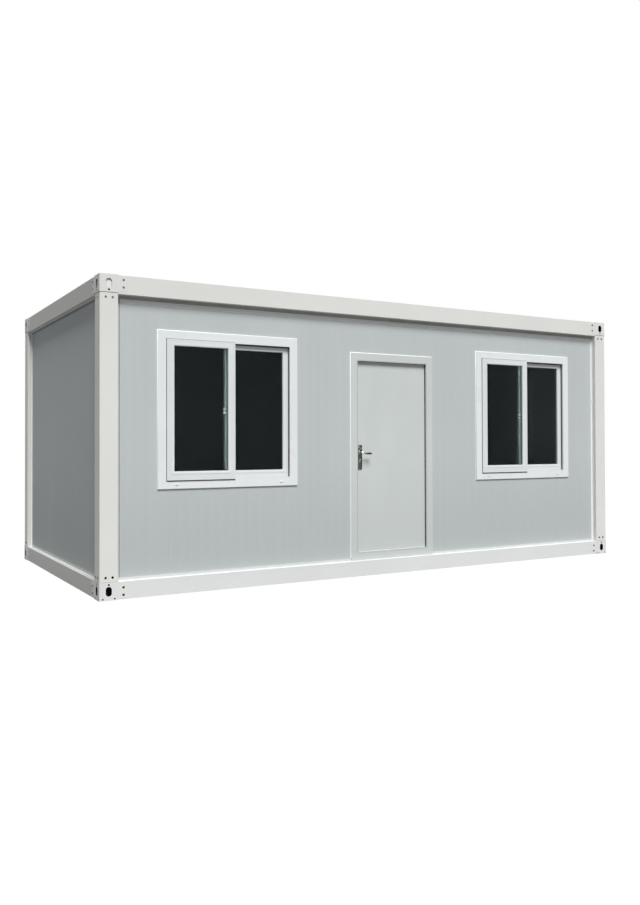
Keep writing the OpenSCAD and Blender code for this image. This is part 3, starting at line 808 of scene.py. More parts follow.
@dataclass
class Frame(Assembly):
    """Bolts and joint plates of the steel frame, with painted shade and light: strips where the
    posts meet the blocks, dark sleeves in the holes, and dark and pale cells behind them.
    """

    size: Vector
    block: Vector
    relief: float
    beam_bolt_x: float = 0.205
    beam_bolt_gap: float = 0.062
    beam_bolt_z: Flat = (0.070, 2.6275)
    post_bolt_x: float = 0.083
    post_bolt_gap: float = 0.058
    post_bolt_z: Flat = (0.189, 2.508)
    plate_end: float = 0.231
    plate_t: float = 0.0009
    plate_margin: float = 0.010
    plate_round: float = 0.014
    head_r: float = 0.0104
    head_h: float = 0.0012
    head_sides: int = 16
    shade_line_h: float = 0.0035
    shade_line_t: float = 0.0007
    shade_line_in: float = 0.010
    block_wall: float = 0.006
    cell_depth: float = 0.045
    cell_gap: float = 0.0004
    cell_clear: float = 0.0016
    pale_depth: float = 0.004
    pale_margin: float = 0.004
    small_cell_depth: float = 0.012
    small_cell_margin: float = 0.003
    lining_t: float = 0.0006
    side_hole: Flat = (0.0255, 0.0395)
    small_hole_r: float = 0.0085
    small_hole_in: float = 0.020
    drain_hole_r: float = 0.007
    drain_hole: Flat = (0.030, 0.014)
    edge_t: float = 0.0003

    def bolt(self, bolts: Shape, spot: Matrix) -> None:
        """Adds one low socket-head bolt.

        Args:
            bolts: collects the bolts of its colour.
            spot: its place, with Y into the face that it sits on.
        """
        r, h = self.head_r, self.head_h
        profile = [
            (0.0, -0.15 * h), (0.42 * r, -0.15 * h), (0.46 * r, -h),
            (0.8 * r, -0.95 * h), (r, -0.35 * h), (r, 0.6 * h), (0.0, 0.6 * h),
        ]
        bolts.turned(profile, self.head_sides, spot)

    def joints(self, side: Side) -> None:
        """Adds the joint plates and bolts of one side, and the strips that paint the shade where
        its posts meet the blocks.

        Args:
            side: the side of the house.
        """
        place, half = side.place(self.size), side.along(self.size) / 2
        end = half - side.along(self.block)
        reach = self.block.z / 2 - self.plate_margin
        face, depth = self.relief - self.plate_t, self.relief
        for sign in (-1, 1):
            near, far = sorted((sign * end, sign * (half - self.plate_end)))
            heights = (self.block.z / 2, self.size.z - self.block.z / 2)
            for z, beam_z, post_z in zip(heights, self.beam_bolt_z, self.post_bolt_z):
                painted = self.at_left_end(side, sign) and z > self.block.z
                bolts = self.shapes["painted_bolts" if painted else "frame_bolts"]
                outline = rounded((near, z - reach), (far, z + reach), self.plate_round)
                self.shapes["frame_joint_plates"].prism(outline, face, depth, place)
                for step in (-0.5, 0.5):
                    post_x = sign * (half - self.post_bolt_x - step * self.post_bolt_gap)
                    beam_x = sign * (half - self.beam_bolt_x)
                    up = beam_z + step * self.beam_bolt_gap
                    for spot in ((beam_x, face, up), (post_x, depth, post_z)):
                        self.bolt(bolts, place @ Matrix.Translation(spot))
            # Painted shade: a thin strip on each post under its top block, and a paler one over its
            # bottom block.
            near, far = sorted((sign * end, sign * (half - self.shade_line_in)))
            foot, head = self.block.z, self.size.z - self.block.z - self.shade_line_h
            for name, low in (("post_foot_shade_lines", foot), ("post_head_shade_lines", head)):
                start = (near, depth - self.shade_line_t, low)
                self.shapes[name].box(start, (far, depth + BED, low + self.shade_line_h), place)

    def hole_edges(self, side: Side) -> None:
        """Adds a thin dark sleeve inside each hole in one side's outer faces, partly the plate's
        cut edge and partly painted shade.

        Args:
            side: the side of the house.
        """
        place, width = side.place(self.size), side.along(self.block)
        small, drain = (self.small_hole_r,) * 2, (self.drain_hole_r,) * 2
        for sign in (-1, 1):
            x = sign * (side.along(self.size) - width) / 2
            holes = []
            for base, way in ((0.0, 1), (self.size.z, -1)):
                holes.append(((x, base + way * self.block.z / 2), self.side_hole, 10))
                holes.append(((x, base + way * (self.block.z - self.small_hole_in)), small, 6))
            reach, z = width / 2 - self.drain_hole[0], self.drain_hole[1]
            holes += [((x + way * reach, z), drain, 6) for way in (-1, 1)]
            for middle, half, steps in holes:
                outline = rounded(*about(middle, half), half[0] - 0.0001, steps)
                self.hole_edge(outline, middle, place)

    def hole_edge(self, outline: Sequence[Flat], middle: Flat, place: Matrix) -> None:
        """Adds one thin sleeve along a hole's outline, as deep as the plate.

        Args:
            outline: the hole's outline as X and Z.
            middle: the hole's middle.
            place: the side's place.
        """
        t, back, rings = self.edge_t, self.block_wall + self.edge_t, []
        for grow, y in ((-t, SKIN), (t, SKIN), (t, back), (-t, back)):
            ring = []
            for x, z in outline:
                dx, dz = x - middle[0], z - middle[1]
                share = grow / math.hypot(dx, dz)
                ring.append((x + dx * share, y, z + dz * share))
            rings.append(ring)
        self.shapes["block_hole_edges"].loft(rings, place, closed=True)

    def at_left_end(self, side: Side, sign: int) -> bool:
        """Tells whether a block is at the left end, where the top ones look pale."""
        return side is Side.LEFT or (side, sign) in ((Side.FRONT, -1), (Side.BACK, 1))

    def cell(self, lining: Shape, low: Point, high: Point, place: Matrix) -> None:
        """Lines five sides of the space behind a hole; the sixth is its mouth at low Y.

        Args:
            lining: collects the cells of its colour.
            low: the space's lower corner.
            high: its upper corner.
            place: the side's place.
        """
        t = self.lining_t
        (x0, y0, z0), (x1, y1, z1) = low, high
        for start, end in (
            ((x0, y1 - t, z0), (x1, y1, z1)),
            ((x0, y0, z0), (x0 + t, y1 - t, z1)),
            ((x1 - t, y0, z0), (x1, y1 - t, z1)),
            ((x0 + t, y0, z0), (x1 - t, y1 - t, z0 + t)),
            ((x0 + t, y0, z1 - t), (x1 - t, y1 - t, z1)),
        ):
            lining.box(start, end, place)

    def linings(self, side: Side) -> None:
        """Adds the cells behind the holes of one side's outer faces.

        The dark cells paint the shade inside the blocks, but the holes of the left top blocks have
        shallow pale cells that paint light inside them, apart from their small holes.

        Args:
            side: the side of the house.
        """
        dark, pale = self.shapes["block_linings"], self.shapes["top_block_linings"]
        wall, top = self.block_wall + self.cell_gap, self.size.z - self.block.z
        w, h = (reach + self.pale_margin for reach in self.side_hole)
        r = self.small_hole_r + self.small_cell_margin
        place, half = side.place(self.size), side.along(self.size) / 2
        width = side.along(self.block)
        depth, outer = wall + self.cell_depth, wall
        if not side.long:  # the ends' cells stay clear of those of the long sides
            depth, outer = depth - self.lining_t, depth + self.cell_clear
        for sign in (-1, 1):
            inner = half - width + self.block_wall + self.cell_gap
            x0, x1 = sorted((sign * (half - outer), sign * inner))
            # Painted shade: dark cells behind the holes.
            self.cell(dark, (x0, wall, wall), (x1, depth, self.block.z - wall), place)
            if not self.at_left_end(side, sign):
                self.cell(dark, (x0, wall, top + wall), (x1, depth, self.size.z - wall), place)
                continue
            x, z, low = sign * (half - width / 2), top + self.block.z / 2, top + self.small_hole_in
            end = (x + r, wall + self.small_cell_depth, low + r)
            self.cell(dark, (x - r, wall, top + wall), end, place)
            # Painted light: a shallow pale cell behind the oval hole.
            self.cell(pale, (x - w, wall, z - h), (x + w, wall + self.pale_depth, z + h), place)

    def build(self) -> None:
        """Builds the joints of all sides and the insides of the blocks."""
        for side in Side:
            self.joints(side)
            self.linings(side)
            self.hole_edges(side)
        self.make("frame_paint", {
            "frame_joint_plates": FRAME_PAINT,
            "frame_bolts": BOLT_BLACK,
            "painted_bolts": BOLT_GREY,
            "post_head_shade_lines": DARK_SHADE_LINE,
            "post_foot_shade_lines": PALE_SHADE_LINE,
            "block_hole_edges": HOLE_EDGE,
            "block_linings": SHADE_CELL_PAINT,
            "top_block_linings": TRIM_PAINT,
        })


@dataclass
class WallSkin:
    """The rolled steel face of one side's panels, with its joints and ribs."""

    side: Side
    size: Vector
    bay: Flat
    height: Flat
    depth: float
    joints: tuple[float, ...]
    holes: tuple[Hole, ...] = ()
    inside: bool = False
    panel_w: float = 0.95
    rib_pitch: float = 0.095
    rib_w: float = 0.006
    rib_d: float = 0.00025
    inside_share: float = 0.3
    joint_w: float = 0.004
    joint_d: float = 0.0009
    skin_t: float = 0.0011
    back_gap: float = 0.00005
    least: float = 0.002

    def profile(self, low: float, high: float) -> list[Flat]:
        """Gives the face's line between two places along the wall.

        Args:
            low: the left end.
            high: the right end.

        Returns:
            Place and depth pairs from left to right.
        """
        grooves = [(joint, self.joint_w, self.joint_d) for joint in self.joints]
        for start in (self.joints[0] - self.panel_w, *self.joints):
            for i in range(1, round(self.panel_w / self.rib_pitch)):
                grooves.append((start + i * self.rib_pitch, self.rib_w, self.rib_d))
        out, share = (1, self.inside_share) if self.inside else (-1, 1.0)
        front = self.depth + out * self.skin_t
        line = [(low, front)]
        for x, w, d in sorted(grooves):
            if low + w < x < high - w:
                floor = front - out * d * share
                line += [(x - w / 2, front), (x - w / 5, floor)]
                line += [(x + w / 5, floor), (x + w / 2, front)]
        return line + [(high, front)]

    def strip(self, shape: Shape, low: float, high: float, z0: float, z1: float) -> None:
        """Adds the face between two places and two heights as a thin solid.

        Args:
            shape: collects the face.
            low: the left end.
            high: the right end.
            z0: the lower height.
            z1: the upper height.
        """
        if min(high - low, z1 - z0) < self.least:
            return
        back = self.depth + (self.back_gap if self.inside else -self.back_gap)
        outline = self.profile(low, high) + [(high, back), (low, back)]
        shape.loft([[(x, y, z) for x, y in outline] for z in (z0, z1)], self.side.place(self.size))

    def build(self) -> None:
        """Builds the face round the holes."""
        shape = Shape()
        z0, z1 = self.height
        edge = self.bay[0]
        for low, high, bottom, top in sorted(self.holes):
            self.strip(shape, edge, low, z0, z1)
            self.strip(shape, low, high, z0, bottom)
            self.strip(shape, low, high, top, z1)
            edge = high
        self.strip(shape, edge, self.bay[1], z0, z1)
        where = f"{self.side.name.lower()}_wall"
        if self.inside:
            shape.make(f"{where}_lining", "house", "panel_white", WHITE_PANEL)
        else:
            shape.make(f"{where}_face", "house", "panel_grey", PANEL_PAINT)


@dataclass
class BayStrips(Assembly):
    """The strips over each wall, its side strip and the strip at its foot: the grey head and side
    strips are painted shade and painted shadow, and the pale strip under the head is painted light.
    """

    size: Vector
    post: Vector
    height: Flat
    depth: float
    door: Flat
    trim_w: float = 0.025
    trim_t: float = 0.0015
    strip_t: float = 0.0007
    lip: float = 0.0016
    foot_gap: float = 0.0008
    side_shadow_span: Flat = (0.016, 0.0256)
    seal_h: float = 0.033
    end_head_shade_h: float = 0.0254
    light_strip_h: float = 0.066
    light_strip_t: float = 0.0016
    hem_h: float = 0.0021

    def add_painted_light_strip(self, half: float, place: Matrix) -> None:
        """Adds the pale strip under the painted shade at the head of one long side, with its hem;
        it paints light into the shade under the top beam.

        Args:
            half: half the clear width between the posts.
            place: the side's place.
        """
        z0, z1 = self.height[1] - self.light_strip_h, self.height[1] - self.seal_h + BED
        face, foot = self.depth - self.light_strip_t, z0 - 0.0003
        shape = self.shapes["bay_head_light_strips"]
        shape.box((-half, face, z0), (half, face + self.strip_t, z1), place)
        shape.box((-half, face - BED, foot), (half, face + 0.0003, foot + self.hem_h), place)

    def build(self) -> None:
        """Builds the strips of all sides; the foot strip stops at the door frame."""
        z0, z1 = self.height
        face = self.depth - self.trim_t - self.strip_t
        back = self.depth - self.trim_t + SKIN
        for side in Side:
            place = side.place(self.size)
            half = side.half(self.size, self.post) - self.lip
            # Painted shade: a grey strip under the head of each wall, paler on the long sides.
            head = self.shapes["bay_head_painted_shades" if side.long else "end_head_painted_shades"]
            low = z1 - (self.seal_h if side.long else self.end_head_shade_h)
            head.box((-half, face, low), (half, back, z1 - self.lip), place)
            if side.long:
                self.add_painted_light_strip(half, place)
            # Painted shadow: a grey strip on each side beside its left post.
            start, end = (seal - half for seal in self.side_shadow_span)
            corner = (start, face, z0 + self.trim_w)
            self.shapes["bay_side_painted_shadows"].box(corner, (end, back, low), place)
            spans = [(-half, half)]
            if side is Side.FRONT:
                spans = [(-half, self.door[0]), (self.door[1], half)]
            top = z0 + self.trim_w - self.foot_gap
            for start, end in spans:
                foot = self.shapes["bay_foot_strips"]
                foot.box((start, face, z0 + self.lip), (end, back, top), place)
        self.make("trim_white", {
            "bay_head_painted_shades": HEAD_SHADE_STRIP,
            "end_head_painted_shades": SHADE_SEAL,
            "bay_head_light_strips": HEAD_LIGHT_STRIP_PAINT,
            "bay_foot_strips": BASE_STRIP,
            "bay_side_painted_shadows": SHADE_SEAL,
        })


@dataclass
class Window(Assembly):
    """The small pieces of one sliding window."""

    name: str
    wall: float
    frame: Box = field(init=False)
    outer: Box = field(init=False)
    inner: Box = field(init=False)
    stile: float = 0.067
    top_rail: float = 0.056
    bottom_rail: float = 0.074
    bead_w: float = 0.022
    bead_h: float = 0.0016
    bead_in: float = 0.0035
    glass_t: float = 0.005
    seal_w: float = 0.004
    brush_w: float = 0.0035
    brush_h: float = 0.004
    meeting_w: float = 0.005
    end_gap: float = 0.014
    head_seal_h: float = 0.0125
    track_rib: float = 0.002
    sealant_w: float = 0.0045
    cover: Point = (0.034, 0.004, 0.011)
    cover_in: float = 0.17
    seam_w: float = 0.0012
    seam_h: float = 0.00025
    seam_share: float = 0.03
    pull: Flat = (0.010, 0.05)
    edge_round: float = 0.0012

    def __post_init__(self) -> None:
        """Looks up the boxes of the window's own solids."""
        parts = ("frame", "outer_sash", "inner_sash")
        self.frame, self.outer, self.inner = (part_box(f"{self.name}_{part}") for part in parts)

    @property
    def prefix(self) -> str:
        """Starts the name of each piece with the window's."""
        return f"{self.name}_"

    @property
    def lap(self) -> float:
        """Gives how far the sash stands inside the casing's edge."""
        return self.outer[0].x - self.frame[0].x

    def beads(self) -> None:
        """Adds the glazing beads and the black seals of both panes, on both faces."""
        edge, start, end = 0.001, self.bead_in, self.bead_in + self.seal_w
        for low, high in (self.outer, self.inner):
            foot = (low.x + self.stile, low.z + self.bottom_rail)
            head = (high.x - self.stile, high.z - self.top_rail)
            for face, way in ((low.y, 1), (high.y, -1)):
                glass = (low.y + high.y) / 2 - way * self.glass_t / 2
                bead = [
                    (-self.bead_w, face + way * BED),
                    (-self.bead_w + edge, face - way * self.bead_h),
                    (-5 * edge, face - way * self.bead_h),
                    (0.0, face + way * edge),
                    (start, glass - way * 0.0012),
                    (start, glass - way * SKIN),
                    (-SKIN, glass - way * SKIN),
                    (-SKIN, face + way * BED),
                ]
                seal = [
                    (start, glass - way * 0.0015), (end, glass - way * 0.0006),
                    (end, glass - way * SKIN), (start, glass - way * SKIN),
                ]
                self.shapes["beads"].ring(foot, head, bead)
                self.shapes["seals"].ring(foot, head, seal)

    def brushes_and_painted_shadow(self) -> None:
        """Adds the dark brush strips where the outer sash laps over the flange, a dark strip under
        the sash that paints its shadow, and a dark strip at the meeting stiles, partly a seal and
        partly painted shade.
        """
        shape, flange = self.shapes["brushes_and_painted_shadow"], self.frame[0].y
        low, high = self.outer
        (x0, z0), (x1, z1) = (low.x, low.z), (high.x, high.z)
        stations = (
            ((x1, z1), (0, -1)), ((x0, z1), (1, -1)), ((x0, z0), (1, 1)), ((x1, z0), (0, 1)),
        )
        w, back, front = self.brush_w, flange + 0.0004, flange - self.brush_h
        profile = [
            (-w, back), (-w, flange - 0.0015), (-BED, front), (0.0006, front), (0.0006, back),
        ]
        shape.sweep(stations, profile, closed=False)
        # Painted shadow under the outer sash.
        shape.box((x0, flange - 0.003, z0 - 0.0085), (x1, back, z0 - 0.003))
        # Partly a seal, partly painted shade between the sashes.
        start = (x1 - 0.001 - self.meeting_w, high.y - 0.001, self.inner[0].z + 0.012)
        shape.box(start, (x1 - 0.001, self.inner[0].y + SKIN, self.inner[1].z - 0.012))

    def track(self) -> None:
        """Adds the sill's track, and the dark strips beside, over and on the inner sash, partly
        brush seals and partly painted shade.
        """
        low, high = self.inner
        right, top = self.frame[1].x - self.lap, self.frame[1].z - self.lap
        front, meet, foot = low.y, self.outer[1].x, low.z + self.end_gap
        into = 0.0004
        # Painted shade, partly a brush seal: beside the inner sash, over it and on its side.
        self.shapes["track_brush_and_shade"].box(
            (right - 0.003, front - 0.016, foot), (right + into, front - SKIN, top - into)
        )
        self.shapes["sash_side_shade"].box(
            (low.x - 0.0012, front + 0.003, foot),
            (low.x + 0.0003, high.y - 0.003, high.z - self.end_gap),
        )
        self.shapes["head_track_shade"].box(
            (meet + 0.001, front - 0.009, top - self.head_seal_h),
            (right - 0.003, front - SKIN, top + into),
        )
        face, base, back = self.frame[0].y + 0.0006, self.frame[0].z + self.lap, front - into
        rib, sheet, under = front - 0.005, base + 0.001, base - 0.0003
        profile = [
            (face, under), (back, under), (back, sheet), (rib, sheet),
            (rib - 0.0005, sheet + self.track_rib), (rib - 0.0025, sheet + self.track_rib),
            (rib - 0.003, sheet), (face + 0.0006, sheet), (face, base + BED),
        ]
        turn = Matrix.Rotation(math.pi / 2, 4, "Z")
        self.shapes["sill_track"].prism(profile, -(right - 0.0035), -(meet + BED), turn)

    def sealant(self) -> None:
        """Adds the bead of sealant round the casing."""
        low, high = self.frame
        w, flange = self.sealant_w, low.y
        profile = [
            (0.0004, self.wall + BED), (0.0004, flange + 0.006), (-0.001, flange + 0.0065),
            (-w, self.wall - 0.0012), (-w, self.wall + BED),
        ]
        self.shapes["sealant"].ring((low.x, low.z), (high.x, high.z), profile)

    def corner_seams(self) -> None:
        """Adds the welded seams in the corners of the casing and both sashes."""
        sash = self.stile - self.bead_w
        for (low, high), reach in ((self.frame, self.lap), (self.outer, sash), (self.inner, sash)):
            for x, dx in ((low.x, reach), (high.x, -reach)):
                for z, dz in ((low.z, reach), (high.z, -reach)):
                    self.seam((x, z), (dx, dz), low.y)

    def seam(self, corner: Flat, reach: Flat, y: float) -> None:
        """Adds one fine raised weld seam that runs inwards from a corner.

        Args:
            corner: the corner as X and Z.
            reach: how far inwards it goes along X and Z.
            y: the face that it lies on.
        """
        (x, z), (dx, dz), share = corner, reach, self.seam_share
        nx, nz = (self.seam_w / 2 * part / math.hypot(dx, dz) for part in (-dz, dx))
        ax, az, bx, bz = x + dx * share, z + dz * share, x + dx * (1 - share), z + dz * (1 - share)
        outline = [(ax + nx, az + nz), (ax - nx, az - nz), (bx - nx, bz - nz), (bx + nx, bz + nz)]
        self.shapes["corner_seams"].prism(outline, y - self.seam_h, y + SKIN)

    def covers(self) -> None:
        """Adds the two drain covers on the casing's lower part."""
        low, high = self.frame
        w, t, h = self.cover
        z = (low.z + self.outer[0].z) / 2
        for x in (low.x + self.cover_in, high.x - self.cover_in):
            outline = rounded(*about((x, z), (w / 2, h / 2)), h / 2.2)
            self.shapes["drain_covers"].prism(outline, low.y - t, low.y + BED)

    def lock(self) -> None:
        """Adds the crescent lock's inner lever and the pulls of the sashes."""
        shape, (low, high), half = self.shapes["lock"], self.inner, self.stile / 2
        x, y, z = low.x + half, high.y, (low.z + high.z) / 2
        plate = rounded(*about((x, z), (0.009, 0.032)), 0.008)
        lever = rounded((x - 0.007, z - 0.006), (x + 0.03, z + 0.006), 0.005)
        shape.prism(plate, y - BED, y + 0.008)
        shape.prism(lever, y + 0.007, y + 0.017)
        for middle, back in ((high.x - half - 0.006, y), (self.outer[0].x + half, self.outer[1].y)):
            profile = [
                (0.0, back - BED), (0.0, back + 0.003), (0.003, back + 0.004), (0.004, back - BED),
            ]
            shape.ring(*about((middle, z), self.pull), profile)
        self.keeper((low.x + 0.006, low.y, z))

    def keeper(self, middle: Point) -> None:
        """Adds the lock's base and knob, which show through the outer pane.

        Args:
            middle: the knob's middle, on the front of the inner sash.
        """
        x, y, z = middle
        base = rounded((x - 0.035, z - 0.035), (x + 0.010, z + 0.035), 0.021)
        self.shapes["lock_base"].prism(base, y - 0.0125, y - 0.0105)
        for low, high, rise in ((-0.031, -0.0025, 0.016), (0.0025, 0.031, 0.0165)):
            half = rounded((x - 0.031, z + low), (x + 0.006, z + high), 0.0135)
            self.shapes["lock_knob"].prism(half, y - rise, y - 0.012)

    def build(self) -> None:
        """Builds all the small pieces of the window."""
        for add in (
            self.beads, self.brushes_and_painted_shadow, self.track, self.sealant,
            self.corner_seams, self.covers, self.lock,
        ):
            add()
        self.make("window_pvc", {
            "beads": BEAD_PLASTIC,
            "seals": SEAL,
            "brushes_and_painted_shadow": SEAL,
            "sill_track": TRACK_PLASTIC,
            "sash_side_shade": SHADE_SEAL,
            "head_track_shade": TRACK_BRUSH_SHADE,
            "track_brush_and_shade": TRACK_BRUSH_SHADE,
        })
        self.make("trim_white", {"sealant": SEALANT})
        self.make("window_pvc", {"corner_seams": BEAD_PLASTIC})
        self.make("window_pvc", {"drain_covers": WINDOW_PLASTIC}, bevel=self.edge_round)
        self.make("latch_plastic", {"lock": LATCH_PLASTIC}, bevel=self.edge_round)
        self.make("latch_plastic", {"lock_base": LATCH_BASE}, bevel=self.edge_round / 2)
        self.make("latch_plastic", {"lock_knob": LATCH_METAL}, bevel=self.edge_round)


@dataclass
class DoorSet(Assembly):
    """The seals, lips, screws and fittings round the door, with painted shade in the groove line
    and the seal, and a painted highlight on the threshold.
    """

    wall: float
    stop_w: float = 0.015
    gap: float = 0.005
    latch_gap: float = 0.008
    lip_w: float = 0.005
    lip_h: float = 0.0012
    groove_w: float = 0.0018
    seal_w: float = 0.012
    seal_h: float = 0.009
    sealant_w: float = 0.007
    sealant_h: float = 0.009
    sealant_foot: float = 0.0265
    threshold_d: float = 0.006
    threshold_z: Flat = (-0.006, 0.0065)
    screw_r: float = 0.0042
    screw_sides: int = 14
    screw_up: Flat = (0.014, 0.036)
    screw_in: Flat = (0.008, 0.018)
    knuckle: float = 0.016
    hinge_l: float = 0.1
    hinge_count: int = 3

    def frame(self) -> None:
        """Adds the sealant round the frame, its pressed lip, a dark groove line that paints a
        groove's shade, its rubber seal, which also paints the shade in the reveal, and the
        threshold, which also paints a highlight.
        """
        (low, high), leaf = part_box("door_frame"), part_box("door_leaf")
        face, lap, side, hem = low.y, self.stop_w - self.gap, self.sealant_w, self.lip_w
        x0, z0 = leaf[0].x + self.stop_w - self.latch_gap, leaf[0].z + lap
        x1, z1 = leaf[1].x - lap, leaf[1].z - lap
        edge, top = self.wall - self.sealant_h, face - self.lip_h
        sealant = [
            (0.0004, self.wall + BED), (0.0004, edge), (-0.002, edge + 0.001),
            (-side, self.wall - 0.0014), (-side, self.wall + BED),
        ]
        foot = (low.x, low.z + self.sealant_foot)
        self.shapes["door_sealant"].ring(foot, (high.x, high.z), sealant, footless=True)
        lip = [
            (0.0006, face + 0.003), (0.0006, face - self.lip_h / 2), (-0.0015, top),
            (-hem + 0.001, top), (-hem, face + 0.0003), (-hem, face + 0.003),
        ]
        self.shapes["door_frame_lip"].ring((x0, z0), (x1, z1), lip)
        # Painted shade: a dark line along the frame's inner edge.
        start, end = SKIN, SKIN - self.groove_w
        inner, outer = face + 0.0004, face - 0.0003
        groove = [(start, inner), (start, outer), (end, outer), (end, inner)]
        corners = ((x0 - hem, z0), (x1 + hem, z1 + hem))
        self.shapes["door_frame_groove_shade"].ring(*corners, groove, footless=True)
        # A rubber seal, wide and dark to paint the shade in the reveal too.
        stop, back = leaf[0].y - self.gap, leaf[0].y - 0.0006
        seal = [
            (0.0012, stop - self.seal_h), (0.0022, stop - 0.004), (0.0012, back),
            (-self.seal_w, back), (-self.seal_w, stop + SKIN), (-0.0004, stop + SKIN),
            (-0.0004, stop - self.seal_h),
        ]
        self.shapes["door_seal"].ring((x0, z0), (x1, z1), seal)
        # A threshold, pale to paint the highlight along the leaf's foot too.
        bottom, height = (z0 + z for z in self.threshold_z)
        self.shapes["door_threshold_and_highlight"].box(
            (x0 - 0.001, stop - self.threshold_d, bottom), (x1 + 0.001, stop + BED, height)
        )

    def screw(self, name: str, spot: Point) -> None:
        """Adds one countersunk cross-head screw on a face that looks inwards.

        Args:
            name: the piece that it belongs to.
            spot: its place.
        """
        r = self.screw_r
        profile = [
            (0.0, -0.0002), (0.3 * r, -0.0003), (0.45 * r, -0.0008),
            (r, -0.0004), (r, 0.0003), (0.0, 0.0003),
        ]
        turn = Matrix.Translation(spot) @ Matrix.Rotation(math.pi, 4, "Z")
        self.shapes[name].turned(profile, self.screw_sides, turn)

    def hinges(self) -> None:
        """Adds the screws on both halves of the hinges."""
        still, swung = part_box("door_frame_hinges"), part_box("door_leaf_hinges")
        start, end = still[0].z + self.hinge_l / 2, swung[1].z - self.hinge_l / 2
        proud = self.knuckle / 2 + 0.001
        for i in range(self.hinge_count):
            z = start + i * (end - start) / (self.hinge_count - 1)
            for up in self.screw_up:
                for inset in self.screw_in:
                    fixed = (still[1].x - inset + 0.001, still[1].y - proud, z - up)
                    moving = (swung[0].x + inset, swung[1].y - proud, z + up)
                    self.screw("frame_hinge_screws", fixed)
                    self.screw("leaf_hinge_screws", moving)

    def build(self) -> None:
        """Builds all the pieces round the door."""
        self.frame()
        self.hinges()
        self.make("trim_white", {"door_threshold_and_highlight": DOOR_SEALANT}, bevel=0.0015)
        self.make("trim_white", {"door_sealant": DOOR_SEALANT})
        finishes = {"door_frame_groove_shade": DARK_SHADE_LINE, "door_frame_lip": DOOR_PAINT, "door_seal": SEAL}
        self.make("door_paint", finishes)
        self.make("hinge_steel", {"frame_hinge_screws": SCREW_ZINC})
        self.make("hinge_steel", {"leaf_hinge_screws": SCREW_ZINC}, body="door")


